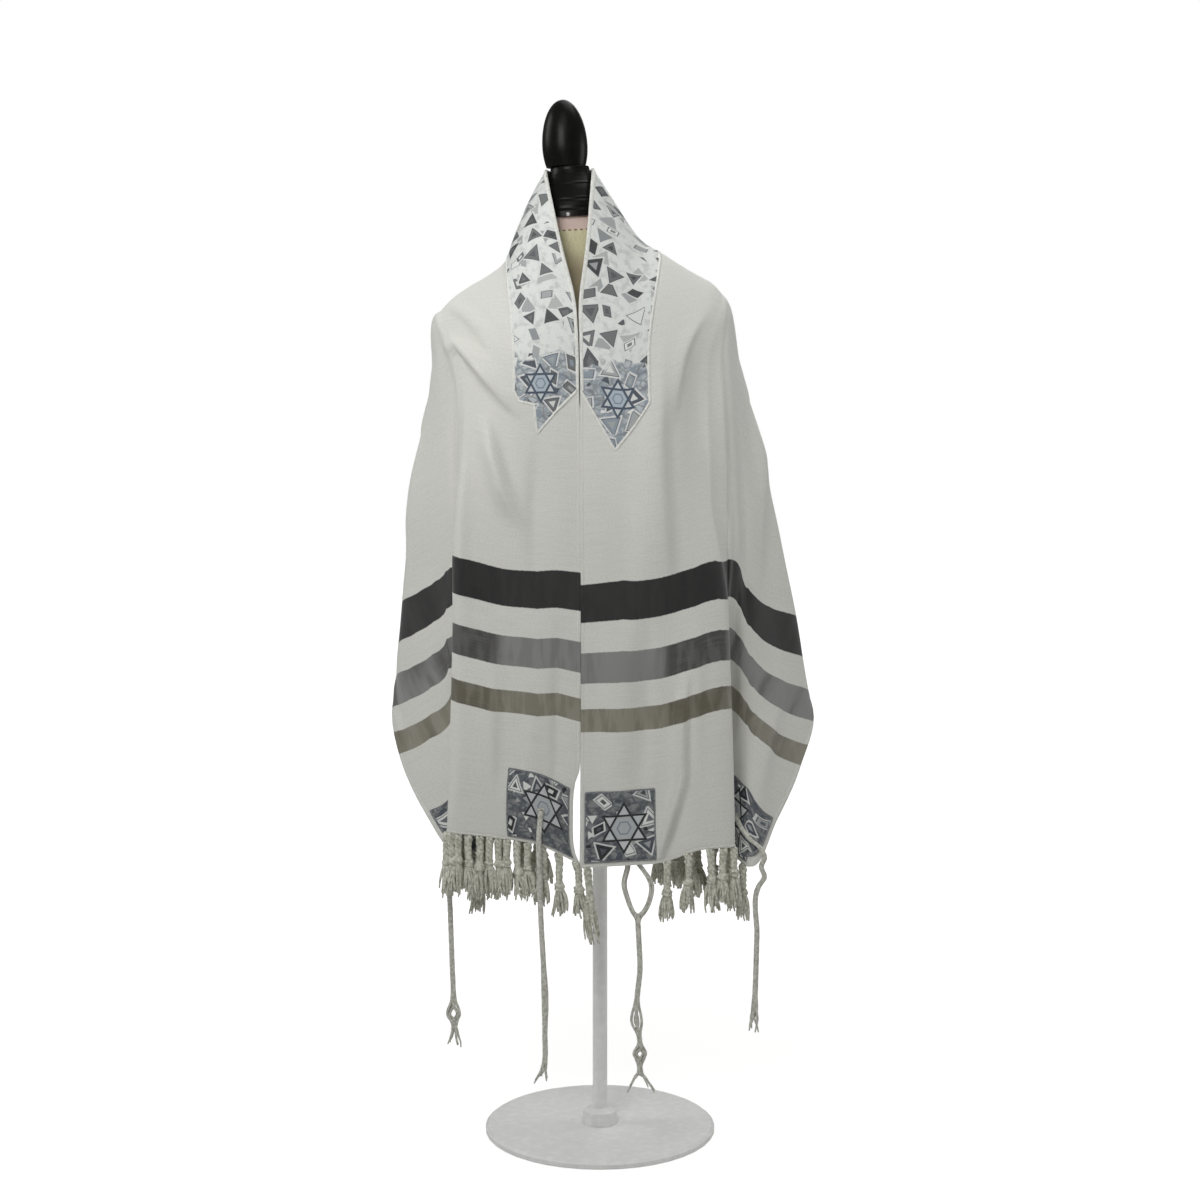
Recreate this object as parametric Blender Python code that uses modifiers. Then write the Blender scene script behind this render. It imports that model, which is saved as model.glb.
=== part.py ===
"""A tallit prayer shawl draped over a limbless dress form on its stand.

The shawl is one rectangle of cloth, worn round the back of the neck, over both shoulders and down the front.
Its shape comes from ribs: straight lines on the flat cloth, each of which runs from the neck or the shoulder
line to the hem or the back edge, and keeps its length on the form. The neckband, the corner patches and the
fringes are cut from, or follow, the same cloth. Metres, +Z up, the front faces -Y, origin under the stand.
"""

import math

import bmesh
import bpy
import numpy as np
from mathutils import Euler, Matrix, Vector
from mathutils.bvhtree import BVHTree

# ---- the flat cloth: u runs from the centre back to a hem, v from the neck edge to the back edge
CLOTH_DEPTH = 0.46
CLOTH_HALF = 0.94
CLOTH_WALL = 0.0012
NECK_PART = 0.047  # from the centre back to the side of the neck
TIP_U = 0.245  # the cloth point that lies on the shoulder's tip
TIP_V = 0.18
EDGE_LENGTH = CLOTH_DEPTH + CLOTH_HALF  # hem and back edge together, front corner to centre back

# ---- what is sewn on it
SEAM_GAP = 0.0003
TRIM_WALL = 0.0010
BAND_DEPTH = 0.088
BAND_SIDE = 0.377  # from the centre back to the neckband's outer corner
BAND_TIP = 0.429  # to its point
BAND_INNER = 0.361  # and to the corner by the neck edge
PATCH = 0.087
PATCH_INSET = 0.006
STRIP_GAP = 0.0005
STRIP_DROP = 0.004
TASSEL_ROOT = 0.0026  # half the width of a tassel where it leaves its strip
TASSEL_NECK = 0.0025
TASSEL_KNOT = 0.0048
TASSEL_LENGTH = 0.071
LONG_TASSEL = 0.092  # the one at the front-right corner
TASSEL_PLACES = {  # places along the hem: the front-right corner has few
    -1: (0.006, 0.032, 0.064, 0.088, 0.108, 0.127, 0.146, 0.168, 0.195, 0.218, 0.238, 0.254, 0.272, 0.300,
         0.368, 0.392, 0.415, 0.442),
    1: (0.010, 0.113, 0.1445, 0.1715, 0.195, 0.222, 0.244, 0.262, 0.280, 0.304, 0.371, 0.388, 0.405, 0.425,
        0.447),
}
STRAND = 0.0008  # a tzitzit strand's radius
STRAND_STEPS = 14
KNOT_SIZE = (0.0070, 0.0035, 0.0055)

# ---- the dress form, which leans to its own right on its pole
LEAN = math.radians(3.3)
TORSO_BOTTOM = 0.550
TORSO_SHIFT = 0.002
NECK_HEIGHT = 0.630  # the cap's rim above the torso's bottom, along the leaning axis
FINIAL_HEIGHT = 0.6950
FINIAL_SHIFT = -0.0045  # it sits a little to one side on the cap
FINIAL_FOOT = 0.025  # from its flat foot up to its widest
FINIAL_RISE = 0.058  # and from there to its top
FINIAL_RADIUS = 0.0284
POLE_RADIUS = 0.0095
BASE_RADIUS = 0.150
BASE_THICK = 0.009

# ---- the shoulder line: share of the way from neck to tip, x, z
SHOULDER_LINE = {
    -1: (
        (0.00, -0.0665, 1.2400),
        (0.15, -0.0843, 1.2090),
        (0.35, -0.1060, 1.1600),
        (0.52, -0.1190, 1.1265),
        (0.68, -0.1440, 1.1065),
        (0.82, -0.1700, 1.0915),
        (0.93, -0.1900, 1.0760),
        (1.00, -0.2010, 1.0640),
    ),
    1: (
        (0.00, -0.0100, 1.2420),
        (0.15, 0.0151, 1.2030),
        (0.35, 0.0503, 1.1530),
        (0.52, 0.0807, 1.1344),
        (0.68, 0.1050, 1.1190),
        (0.82, 0.1280, 1.1060),
        (0.93, 0.1430, 1.0970),
        (1.00, 0.1530, 1.0860),
    ),
}
NECK_BACK = (-0.0383, 0.034, 1.237)  # the neck edge at the centre back

# ---- a row for each rib that shapes a fold: edge = its end, measured along the hem and then the back edge;
# leave = where it hangs free of the form, middle = half way down from there, end = on the cloth's edge
FOLDS = {
    -1: (
        # edge, leave x, y, z, middle x, y, end x, y, z
        (0.000, -0.0262, -0.119, 1.000, -0.0246, -0.124, -0.0260, -0.120, 0.381),  # front edge
        (0.055, -0.0770, -0.121, 1.000, -0.0760, -0.129, -0.0770, -0.128, 0.407),
        (0.115, -0.1270, -0.106, 0.995, -0.1300, -0.122, -0.1340, -0.124, 0.415),
        (0.170, -0.1660, -0.082, 0.990, -0.1790, -0.112, -0.1890, -0.120, 0.421),  # front fold
        (0.192, -0.1720, -0.076, 0.990, -0.1790, -0.098, -0.1860, -0.104, 0.418),
        (0.295, -0.1830, -0.063, 0.995, -0.1500, -0.083, -0.0720, -0.101, 0.425),  # hidden turn
        (0.325, -0.1850, -0.059, 0.996, -0.1520, -0.077, -0.0720, -0.090, 0.425),
        (0.420, -0.1910, -0.048, 1.000, -0.1830, -0.060, -0.1420, -0.080, 0.397),
        (0.460, -0.1950, -0.042, 1.002, -0.1920, -0.052, -0.1684, -0.085, 0.381),  # side corner
        (0.554, -0.2030, -0.030, 1.002, -0.2090, -0.034, -0.2230, -0.040, 0.430),
        (0.628, -0.2080, -0.018, 0.998, -0.2300, -0.012, -0.2574, -0.008, 0.4976),
        (0.700, -0.2120, -0.004, 0.992, -0.2450, 0.008, -0.2660, 0.022, 0.5620),  # widest
        (0.785, -0.2130, 0.013, 0.992, -0.2220, 0.032, -0.2080, 0.048, 0.615),  # first hollow
        (0.850, -0.2122, 0.026, 0.999, -0.2370, 0.054, -0.2560, 0.085, 0.670),  # first flute
        (0.882, -0.2113, 0.031, 1.001, -0.2370, 0.062, -0.2560, 0.101, 0.690),
        (0.945, -0.2085, 0.041, 1.005, -0.2100, 0.062, -0.2160, 0.083, 0.729),  # second hollow
        (1.020, -0.2040, 0.054, 1.005, -0.2210, 0.086, -0.2310, 0.121, 0.771),  # second flute
        (1.095, -0.1970, 0.062, 1.005, -0.1960, 0.080, -0.1950, 0.095, 0.785),
        (1.155, -0.1880, 0.070, 1.005, -0.1920, 0.092, -0.1920, 0.112, 0.790),
        (1.205, -0.1640, 0.088, 1.005, -0.1660, 0.092, -0.1650, 0.090, 0.792),  # third hollow
        (1.260, -0.1300, 0.106, 1.010, -0.1320, 0.118, -0.1330, 0.130, 0.793),  # third flute
        (1.320, -0.0850, 0.114, 1.015, -0.0880, 0.116, -0.0900, 0.112, 0.790),
        (1.400, -0.0300, 0.118, 1.020, -0.0300, 0.126, -0.0300, 0.135, 0.788),  # centre back
    ),
    1: (
        (0.000, -0.0238, -0.119, 1.000, -0.0226, -0.124, -0.0244, -0.120, 0.376),
        (0.055, 0.0290, -0.121, 1.000, 0.0290, -0.129, 0.0290, -0.129, 0.381),
        (0.105, 0.0740, -0.109, 0.998, 0.0760, -0.124, 0.0800, -0.121, 0.384),
        (0.150, 0.1090, -0.094, 0.998, 0.1160, -0.122, 0.1200, -0.127, 0.399),
        (0.195, 0.1370, -0.077, 0.998, 0.1560, -0.110, 0.1658, -0.118, 0.402),
        (0.220, 0.1430, -0.070, 0.998, 0.1600, -0.090, 0.1620, -0.098, 0.398),
        (0.305, 0.1520, -0.058, 1.000, 0.1600, -0.074, 0.0770, -0.091, 0.420),
        (0.335, 0.1540, -0.054, 1.001, 0.1620, -0.066, 0.0770, -0.080, 0.420),
        (0.420, 0.1610, -0.044, 1.005, 0.1760, -0.056, 0.1600, -0.080, 0.389),
        (0.460, 0.1640, -0.038, 1.005, 0.1820, -0.050, 0.1846, -0.105, 0.3742),
        (0.554, 0.1690, -0.026, 1.002, 0.1960, -0.036, 0.2244, -0.055, 0.4230),
        (0.628, 0.1730, -0.014, 0.998, 0.2110, -0.016, 0.2570, -0.012, 0.4830),
        (0.712, 0.1770, 0.000, 0.990, 0.2310, 0.008, 0.2735, 0.030, 0.5600),
        (0.785, 0.1770, 0.014, 0.996, 0.2020, 0.032, 0.2080, 0.050, 0.628),
        (0.850, 0.1764, 0.028, 1.004, 0.2150, 0.058, 0.2430, 0.090, 0.689),
        (0.882, 0.1755, 0.032, 1.006, 0.2150, 0.066, 0.2430, 0.106, 0.709),
        (0.945, 0.1705, 0.043, 1.010, 0.1820, 0.063, 0.1920, 0.084, 0.747),
        (1.024, 0.1620, 0.056, 1.012, 0.1880, 0.090, 0.2050, 0.130, 0.790),
        (1.095, 0.1540, 0.064, 1.012, 0.1550, 0.080, 0.1560, 0.095, 0.805),
        (1.155, 0.1440, 0.072, 1.012, 0.1450, 0.094, 0.1420, 0.115, 0.810),
        (1.205, 0.1160, 0.090, 1.012, 0.1160, 0.094, 0.1140, 0.092, 0.806),
        (1.260, 0.0800, 0.107, 1.015, 0.0800, 0.119, 0.0790, 0.131, 0.802),
        (1.320, 0.0300, 0.115, 1.018, 0.0310, 0.117, 0.0320, 0.113, 0.796),
        (1.400, -0.0300, 0.118, 1.020, -0.0300, 0.126, -0.0300, 0.135, 0.788),
    ),
}
# the compass heading, in degrees from the side, in which a rib leaves the shoulder line
HEADINGS = ((0.0, -90), (0.18, -80), (0.30, -62), (0.46, -35), (0.66, 0), (0.865, 35), (1.024, 62),
            (1.155, 85), (1.40, 90))
# and how steeply it then falls: side -1 or 1, (edge, slope)
TOP_SLOPES = {-1: ((0.0, -0.25), (1.4, -0.25)),
              1: ((0.0, -0.25), (0.25, -0.25), (0.5, -0.8), (0.9, -0.8), (1.15, -0.25))}
# the left front edge bows away from the right one above the hem: how far, up to what height, and how much cloth
BOW = 0.0088
BOW_TOP = 0.500
BOW_CLOTH = 0.110

# ---- the torso's sections: height above its bottom, half width, half depth
TORSO_SECTIONS = (
    (0.000, 0.150, 0.098),
    (0.060, 0.163, 0.108),
    (0.130, 0.160, 0.106),
    (0.210, 0.138, 0.092),
    (0.275, 0.124, 0.084),
    (0.340, 0.132, 0.092),
    (0.400, 0.145, 0.103),
    (0.450, 0.155, 0.101),
    (0.490, 0.163, 0.086),
    (0.516, 0.165, 0.070),
    (0.533, 0.154, 0.060),
    (0.546, 0.132, 0.055),
    (0.558, 0.102, 0.053),
    (0.572, 0.076, 0.052),
    (0.595, 0.060, 0.050),
    (0.6307, 0.053, 0.049),
)
# ---- the neck cap's outline: radius, height above its rim
CAP_OUTLINE = (
    (0.0000, 0.0647), (0.0240, 0.0647), (0.0248, 0.0634), (0.0254, 0.0600), (0.0270, 0.0560), (0.0298, 0.0505), (0.0330, 0.0450), (0.0380, 0.0375), (0.0396, 0.0350),
    (0.0416, 0.0315), (0.0450, 0.0255), (0.0460, 0.0225), (0.0488, 0.0190), (0.0508, 0.0135), (0.0510, 0.0105),
    (0.0533, 0.0070), (0.0540, 0.0010), (0.0000, 0.0010),
)


# ---- the four tzitzit: where each one's knot lies on the cloth (side, u, v, 1 outside or -1 inside), and the
# way down from there: x, y, z, how far the strands stand apart sideways, turns of twist so far
TZITZIT = {
    "tzitzit_side_left": ((-1, 0.8905, 0.4145, 1), (
        (-0.1745, -0.0850, 0.4190, 0.0016, 0.0), (-0.1885, -0.0900, 0.4030, 0.0015, 0.0),
        (-0.1895, -0.0900, 0.3600, 0.0015, 0.1), (-0.1880, -0.0900, 0.3050, 0.0015, 0.3),
        (-0.1865, -0.0900, 0.2500, 0.0015, 0.5), (-0.1850, -0.0900, 0.2000, 0.0026, 0.6),
        (-0.1850, -0.0900, 0.1800, 0.0060, 0.6), (-0.1835, -0.0900, 0.1620, 0.0015, 0.7),
        (-0.1830, -0.0900, 0.1400, 0.0040, 0.7),
    )),
    "tzitzit_front_left": ((-1, 0.8905, 0.0455, 1), (
        (-0.0752, -0.1390, 0.4200, 0.0016, 0.0), (-0.0750, -0.1420, 0.3850, 0.0016, 0.1),
        (-0.0740, -0.1420, 0.3500, 0.0015, 0.2), (-0.0728, -0.1410, 0.3150, 0.0015, 0.3),
        (-0.0700, -0.1400, 0.2600, 0.0017, 0.5), (-0.0681, -0.1400, 0.2150, 0.0028, 0.5),
        (-0.0684, -0.1400, 0.1700, 0.0015, 0.6), (-0.0690, -0.1400, 0.1350, 0.0015, 0.7),
        (-0.0750, -0.1400, 0.1130, 0.0050, 0.7),
    )),
    "tzitzit_front_right": ((1, 0.9280, 0.0620, -1), (
        (0.0430, -0.1200, 0.3760, 0.0090, 0.0), (0.0465, -0.1240, 0.3580, 0.0165, 0.0),
        (0.0480, -0.1300, 0.3350, 0.0120, 0.0), (0.0470, -0.1330, 0.3130, 0.0022, 0.0),
        (0.0480, -0.1340, 0.2900, 0.0015, 0.1), (0.0495, -0.1350, 0.2510, 0.0015, 0.3),
        (0.0460, -0.1350, 0.2140, 0.0018, 0.5), (0.0455, -0.1350, 0.1850, 0.0050, 0.5),
        (0.0495, -0.1350, 0.1600, 0.0015, 0.5), (0.0495, -0.1350, 0.1440, 0.0060, 0.5),
        (0.0495, -0.1350, 0.1270, 0.0020, 0.6), (0.0500, -0.1350, 0.0980, 0.0150, 0.6),
    )),
    "tzitzit_side_right": ((1, 0.8905, 0.4145, 1), (
        (0.1790, -0.0985, 0.4180, 0.0016, 0.0), (0.1890, -0.1040, 0.4070, 0.0015, 0.0),
        (0.1990, -0.1070, 0.3990, 0.0015, 0.1), (0.2050, -0.1080, 0.3870, 0.0014, 0.1),
        (0.2010, -0.1080, 0.3750, 0.0014, 0.1), (0.2050, -0.1080, 0.3620, 0.0014, 0.2),
        (0.1980, -0.1080, 0.3500, 0.0014, 0.2), (0.1962, -0.1080, 0.2870, 0.0014, 0.4),
        (0.1945, -0.1080, 0.2130, 0.0016, 0.6), (0.1935, -0.1080, 0.1860, 0.0032, 0.6),
        (0.1915, -0.1080, 0.1640, 0.0015, 0.7),
    )),
}


def clear_scene():
    for obj in list(bpy.data.objects):
        bpy.data.objects.remove(obj, do_unlink=True)


def material(name, colour, roughness):
    made = bpy.data.materials.new(name)
    made.use_nodes = True
    shader = made.node_tree.nodes["Principled BSDF"]
    shader.inputs["Base Color"].default_value = (*colour, 1.0)
    shader.inputs["Roughness"].default_value = roughness
    return made


def add_object(name, mesh, collection, finish):
    obj = bpy.data.objects.new(name, mesh)
    collection.objects.link(obj)
    mesh.materials.clear()
    mesh.materials.append(finish)
    mesh.shade_smooth()
    mesh.set_sharp_from_angle(angle=math.radians(50))
    return obj


# ---------------------------------------------------------------- the cloth's shape


def spline(knots, rows, at):
    """A smooth curve through rows at uneven knots, read at many places."""
    steps = np.diff(knots)
    slopes = np.diff(rows, axis=0) / steps[:, None]
    tangents = np.concatenate([slopes[:1], slopes[:1], slopes[1:]])
    before, after = steps[:-1, None], steps[1:, None]
    tangents[1:-1] = (slopes[:-1] * after + slopes[1:] * before) / (before + after)
    tangents[-1] = slopes[-1]
    at = np.clip(at, knots[0], knots[-1])
    i = np.clip(np.searchsorted(knots, at, side="right") - 1, 0, len(steps) - 1)
    h = steps[i][:, None]
    f = ((at - knots[i])[:, None]) / h
    return hermite(rows[i], rows[i + 1], tangents[i] * h, tangents[i + 1] * h, f)


def hermite(a, b, leaving_a, reaching_b, f):
    return (
        (2 * f**3 - 3 * f**2 + 1) * a
        + (f**3 - 2 * f**2 + f) * leaving_a
        + (3 * f**2 - 2 * f**3) * b
        + (f**3 - f**2) * reaching_b
    )


def flat_ribs(edge):
    """Where each rib starts and ends on the flat cloth, as (u, v)."""
    on_hem = edge <= CLOTH_DEPTH
    end = np.stack([np.where(on_hem, CLOTH_HALF, EDGE_LENGTH - edge), np.where(on_hem, edge, CLOTH_DEPTH)], 1)
    shoulder_share = np.where(
        edge <= TIP_V, edge / TIP_V, np.clip((end[:, 0] - NECK_PART) / (TIP_U - NECK_PART), 0, 1)
    )
    start = np.stack([NECK_PART + (TIP_U - NECK_PART) * shoulder_share, TIP_V * shoulder_share], 1)
    behind_neck = edge > EDGE_LENGTH - NECK_PART
    start[behind_neck, 0] = end[behind_neck, 0]
    return start, end


def top_points(side, edge):
    """Where each rib starts on the form: round the neck, then out along the shoulder."""
    line = np.array(SHOULDER_LINE[side])
    start, _ = flat_ribs(edge)
    x_z = spline(line[:, 0], line[:, 1:], start[:, 1] / TIP_V)
    points = np.stack([x_z[:, 0], np.zeros(len(edge)), x_z[:, 1]], 1)
    turn = np.clip((edge - (EDGE_LENGTH - NECK_PART)) / NECK_PART, 0, 1) * math.pi / 2
    neck = np.array([line[0, 1], 0.0, line[0, 2]])
    middle = np.array(NECK_BACK)
    round_neck = np.stack(
        [
            middle[0] + (neck[0] - middle[0]) * np.cos(turn),
            middle[1] * np.sin(turn),
            neck[2] + (middle[2] - neck[2]) * np.sin(turn),
        ],
        1,
    )
    return np.where((turn > 0)[:, None], round_neck, points)


def rib_curves(side, edge, samples=18):
    """The worn curve of each rib, as (ribs, points, xyz)."""
    table = np.array(FOLDS[side])
    row = spline(table[:, 0], table[:, 1:], edge)
    top, leave, end = top_points(side, edge), row[:, 0:3], row[:, 5:8]
    middle = np.concatenate([row[:, 3:5], (leave[:, 2:] + end[:, 2:]) / 2], 1)
    degrees = np.interp(edge, [h[0] for h in HEADINGS], [h[1] for h in HEADINGS])
    heading = np.radians(degrees)
    slope = np.interp(edge, [s[0] for s in TOP_SLOPES[side]], [s[1] for s in TOP_SLOPES[side]])
    away = np.stack([side * np.cos(heading), np.sin(heading), slope], 1)
    away *= 0.9 / np.linalg.norm(away, axis=1, keepdims=True)
    legs = [leave - top, middle - leave, end - middle]
    lengths = [np.linalg.norm(leg, axis=1, keepdims=True) for leg in legs]
    ways = [leg / length for leg, length in zip(legs, lengths)]
    at_leave = (ways[0] * lengths[1] + ways[1] * lengths[0]) / (lengths[0] + lengths[1])
    at_leave = 0.35 * at_leave + 0.65 * ways[1]
    at_middle = (ways[1] * lengths[2] + ways[2] * lengths[1]) / (lengths[1] + lengths[2])
    at_end = 2 * ways[2] - at_middle
    tangents = [away, at_leave, at_middle, at_end]
    stations = [top, leave, middle, end]
    f = np.linspace(0, 1, samples + 1)[:, None, None]
    parts = [
        hermite(stations[i], stations[i + 1], lengths[i] * tangents[i], lengths[i] * tangents[i + 1], f)
        for i in range(3)
    ]
    curves = np.swapaxes(np.concatenate([parts[0], parts[1][1:], parts[2][1:]]), 0, 1)
    if side < 0:
        foot = curves[:, -1:, 2]
        rise = np.clip((curves[..., 2] - foot) / (BOW_TOP - foot), 0, 1)
        give = np.clip(1 - edge[:, None] / BOW_CLOTH, 0, 1)
        bow = BOW * (1 - (2 * rise - 1) ** 4)
        curves[..., 0] -= bow * give
        curves[..., 1] -= bow * 2 * give * (1 - give)
    return curves


def along(curve, share):
    """The point at this share of a curve's length."""
    walked = np.concatenate([[0], np.cumsum(np.linalg.norm(np.diff(curve, axis=0), axis=1))])
    return np.array([np.interp(share * walked[-1], walked, curve[:, k]) for k in range(3)])


def columns():
    """The ribs that the mesh follows. Those on the front and the back share their tops on the shoulder."""
    front = np.linspace(0, 1, 10)
    hidden = np.linspace(TIP_V, CLOTH_DEPTH, 13)[1:]
    side_first = CLOTH_DEPTH
    side_last = EDGE_LENGTH - TIP_U
    side = np.linspace(side_first, side_last, 25)[1:-1]
    back = EDGE_LENGTH - (NECK_PART + (TIP_U - NECK_PART) * front[::-1])
    neck = np.linspace(EDGE_LENGTH - NECK_PART, EDGE_LENGTH, 4)[1:]
    return np.concatenate([front * TIP_V, hidden, side, back, neck])


ROWS = (0, 0.03, 0.07, 0.12, 0.18, 0.25, 0.33, 0.42, 0.52, 0.62, 0.72, 0.80, 0.87, 0.935, 1)


def flat_pattern():
    """The whole cloth as a flat bmesh in (u, v). Its layer "worn" holds each point's place on the form."""
    bm = bmesh.new()
    worn = bm.verts.layers.float_vector.new("worn")
    places = {}

    def vertex(u, v, place):
        key = (round(u, 6), round(v, 6))
        if key not in places:
            places[key] = bm.verts.new((u, v, 0))
            places[key][worn] = Vector(place)
        return places[key]

    for side in (-1, 1):
        edges = columns()
        starts, ends = flat_ribs(edges)
        curves = rib_curves(side, edges)
        grid = []
        for start, end, curve in zip(starts, ends, curves):
            flat = [start + (end - start) * share for share in ROWS]
            grid.append([vertex(side * p[0], p[1], along(curve, s)) for p, s in zip(flat, ROWS)])
        for near, far in zip(grid[:-1], grid[1:]):
            for j in range(len(ROWS) - 1):
                corners = [near[j], near[j + 1], far[j + 1], far[j]]
                ring = [c for i, c in enumerate(corners) if c is not corners[i - 1]]
                bm.faces.new(ring if side > 0 else ring[::-1])
    bmesh.ops.triangulate(bm, faces=bm.faces[:])
    return bm


def dress(bm, offset=0.0):
    """Moves a flat bmesh onto the form, offset outwards from the cloth's middle."""
    worn = bm.verts.layers.float_vector["worn"]
    out = bm.verts.layers.float_vector["out"]
    for vert in bm.verts:
        vert.co = vert[worn] + vert[out].normalized() * offset


def add_outward(bm):
    """Stores each point's outward direction in the layer "out"."""
    out = bm.verts.layers.float_vector.new("out")
    worn = bm.verts.layers.float_vector["worn"]
    flat = [vert.co.copy() for vert in bm.verts]
    for vert in bm.verts:
        vert.co = vert[worn]
    bm.normal_update()
    for vert, place in zip(bm.verts, flat):
        vert[out] = vert.normal
        vert.co = place


def cut_piece(pattern, outline):
    """A convex piece cut from the flat pattern, so that it lies face to face on the cloth."""
    bm = pattern.copy()
    centre = sum((Vector((*p, 0)) for p in outline), Vector()) / len(outline)
    for a, b in zip(outline, outline[1:] + outline[:1]):
        along_side = Vector((b[0] - a[0], b[1] - a[1], 0))
        normal = along_side.cross(Vector((0, 0, 1))).normalized()
        if normal.dot(centre - Vector((*a, 0))) > 0:
            normal = -normal
        bmesh.ops.bisect_plane(
            bm, geom=bm.verts[:] + bm.edges[:] + bm.faces[:], dist=1e-5, plane_co=(*a, 0),
            plane_no=normal, clear_outer=True,
        )
    bmesh.ops.remove_doubles(bm, verts=bm.verts[:], dist=2e-4)
    bmesh.ops.triangulate(bm, faces=bm.faces[:])
    return bm


def mesh_of(bm, name):
    mesh = bpy.data.meshes.new(name)
    bm.to_mesh(mesh)
    bm.free()
    return mesh


def add_wall(obj, thickness, offset):
    wall = obj.modifiers.new("wall", "SOLIDIFY")
    wall.thickness = thickness
    wall.offset = offset


# ---------------------------------------------------------------- fringe and tzitzit


def hem_frames(side):
    """The hem's corners in the mesh: where each lies along the hem, its place, and the directions down and out."""
    edges = columns()
    edges = edges[edges <= CLOTH_DEPTH + 1e-9]
    curves = rib_curves(side, edges)
    points = curves[:, -1]
    down = points - np.array([along(curve, ROWS[-2]) for curve in curves])
    out = np.cross(np.gradient(points, axis=0), down) * side
    return edges, points, *(rows / np.linalg.norm(rows, axis=1, keepdims=True) for rows in (down, out))


def fringe(side, name):
    """A strip under the hem, with a row of knotted tassels grown from its lower side."""
    bm = bmesh.new()
    places = np.array(TASSEL_PLACES[side])
    corners, points, down, out = hem_frames(side)
    free = np.abs(corners[:, None] - places).min(axis=1) > 1.5 * TASSEL_ROOT
    within = (corners > places[0]) & (corners < places[-1])
    edge = np.sort(np.concatenate([places - TASSEL_ROOT, places + TASSEL_ROOT, corners[free & within]]))
    at = [np.stack([np.interp(edge, corners, rows[:, k]) for k in range(3)], 1) for rows in (points, down, out)]
    half = CLOTH_WALL / 2
    rings = []
    for point, d, o in zip(*at):
        top = point + d * STRIP_GAP
        low = top + d * STRIP_DROP
        rings.append([bm.verts.new(p) for p in (top - o * half, top + o * half, low + o * half, low - o * half)])
    lower = []
    for near, far in zip(rings[:-1], rings[1:]):
        for k in range(4):
            face = bm.faces.new((near[k], near[k - 1], far[k - 1], far[k]))
            if k == 3:
                lower.append(face)
    bm.faces.new(rings[0])
    bm.faces.new(rings[-1][::-1])
    bmesh.ops.recalc_face_normals(bm, faces=bm.faces[:])
    for i, start in enumerate(np.searchsorted(edge, places - TASSEL_ROOT - 1e-6)):
        usual = LONG_TASSEL if side > 0 and i == 0 else TASSEL_LENGTH
        grow_tassel(bm, lower[start], i, usual)
    return mesh_of(bm, name)


def level_axes(face):
    """Two level directions: along the face's longest edge, and square to it."""
    longest = max(face.edges, key=lambda edge: edge.calc_length())
    across = longest.verts[1].co - longest.verts[0].co
    across.z = 0
    across.normalize()
    return across, Vector((0, 0, 1)).cross(across)


def extrude_to(bm, face, centre, across, out, size):
    """Extrudes a four-sided face and sets its corners square round a new centre."""
    middle = face.calc_center_median()
    made = bmesh.ops.extrude_discrete_faces(bm, faces=[face])["faces"][0]
    for vert in made.verts:
        way = vert.co - middle
        vert.co = centre + across * math.copysign(size, way.dot(across)) + out * math.copysign(size, way.dot(out))
    return made


def grow_tassel(bm, face, index, usual):
    """A twisted neck, a knot and a skirt of four locks, hanging from a face of the strip."""
    root = face.calc_center_median()
    across, out = level_axes(face)
    length = usual * (1 + 0.08 * math.sin(3.1 * index))
    drift = across * 0.0020 * math.sin(2.4 * index) + out * 0.0012 * math.cos(1.7 * index)
    drift.z = -length
    outline = (
        (0.07, TASSEL_NECK), (0.40, TASSEL_NECK), (0.47, TASSEL_KNOT), (0.55, TASSEL_KNOT),
        (0.61, 0.0030),
    )
    for share, size in outline:
        face = extrude_to(bm, face, root + drift * share, across, out, size)
    knot_foot = face.calc_center_median()
    locks = bmesh.ops.poke(bm, faces=[face])["faces"]
    bmesh.ops.inset_individual(bm, faces=locks, thickness=0.0004, use_even_offset=True)
    for lock in locks:
        middle = lock.calc_center_median()
        end = knot_foot + drift * 0.39 + (middle - knot_foot) * 2.9
        tip = bmesh.ops.extrude_discrete_faces(bm, faces=[lock])["faces"][0]
        for vert in tip.verts:
            vert.co = end + (vert.co - middle) * 1.8


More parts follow.
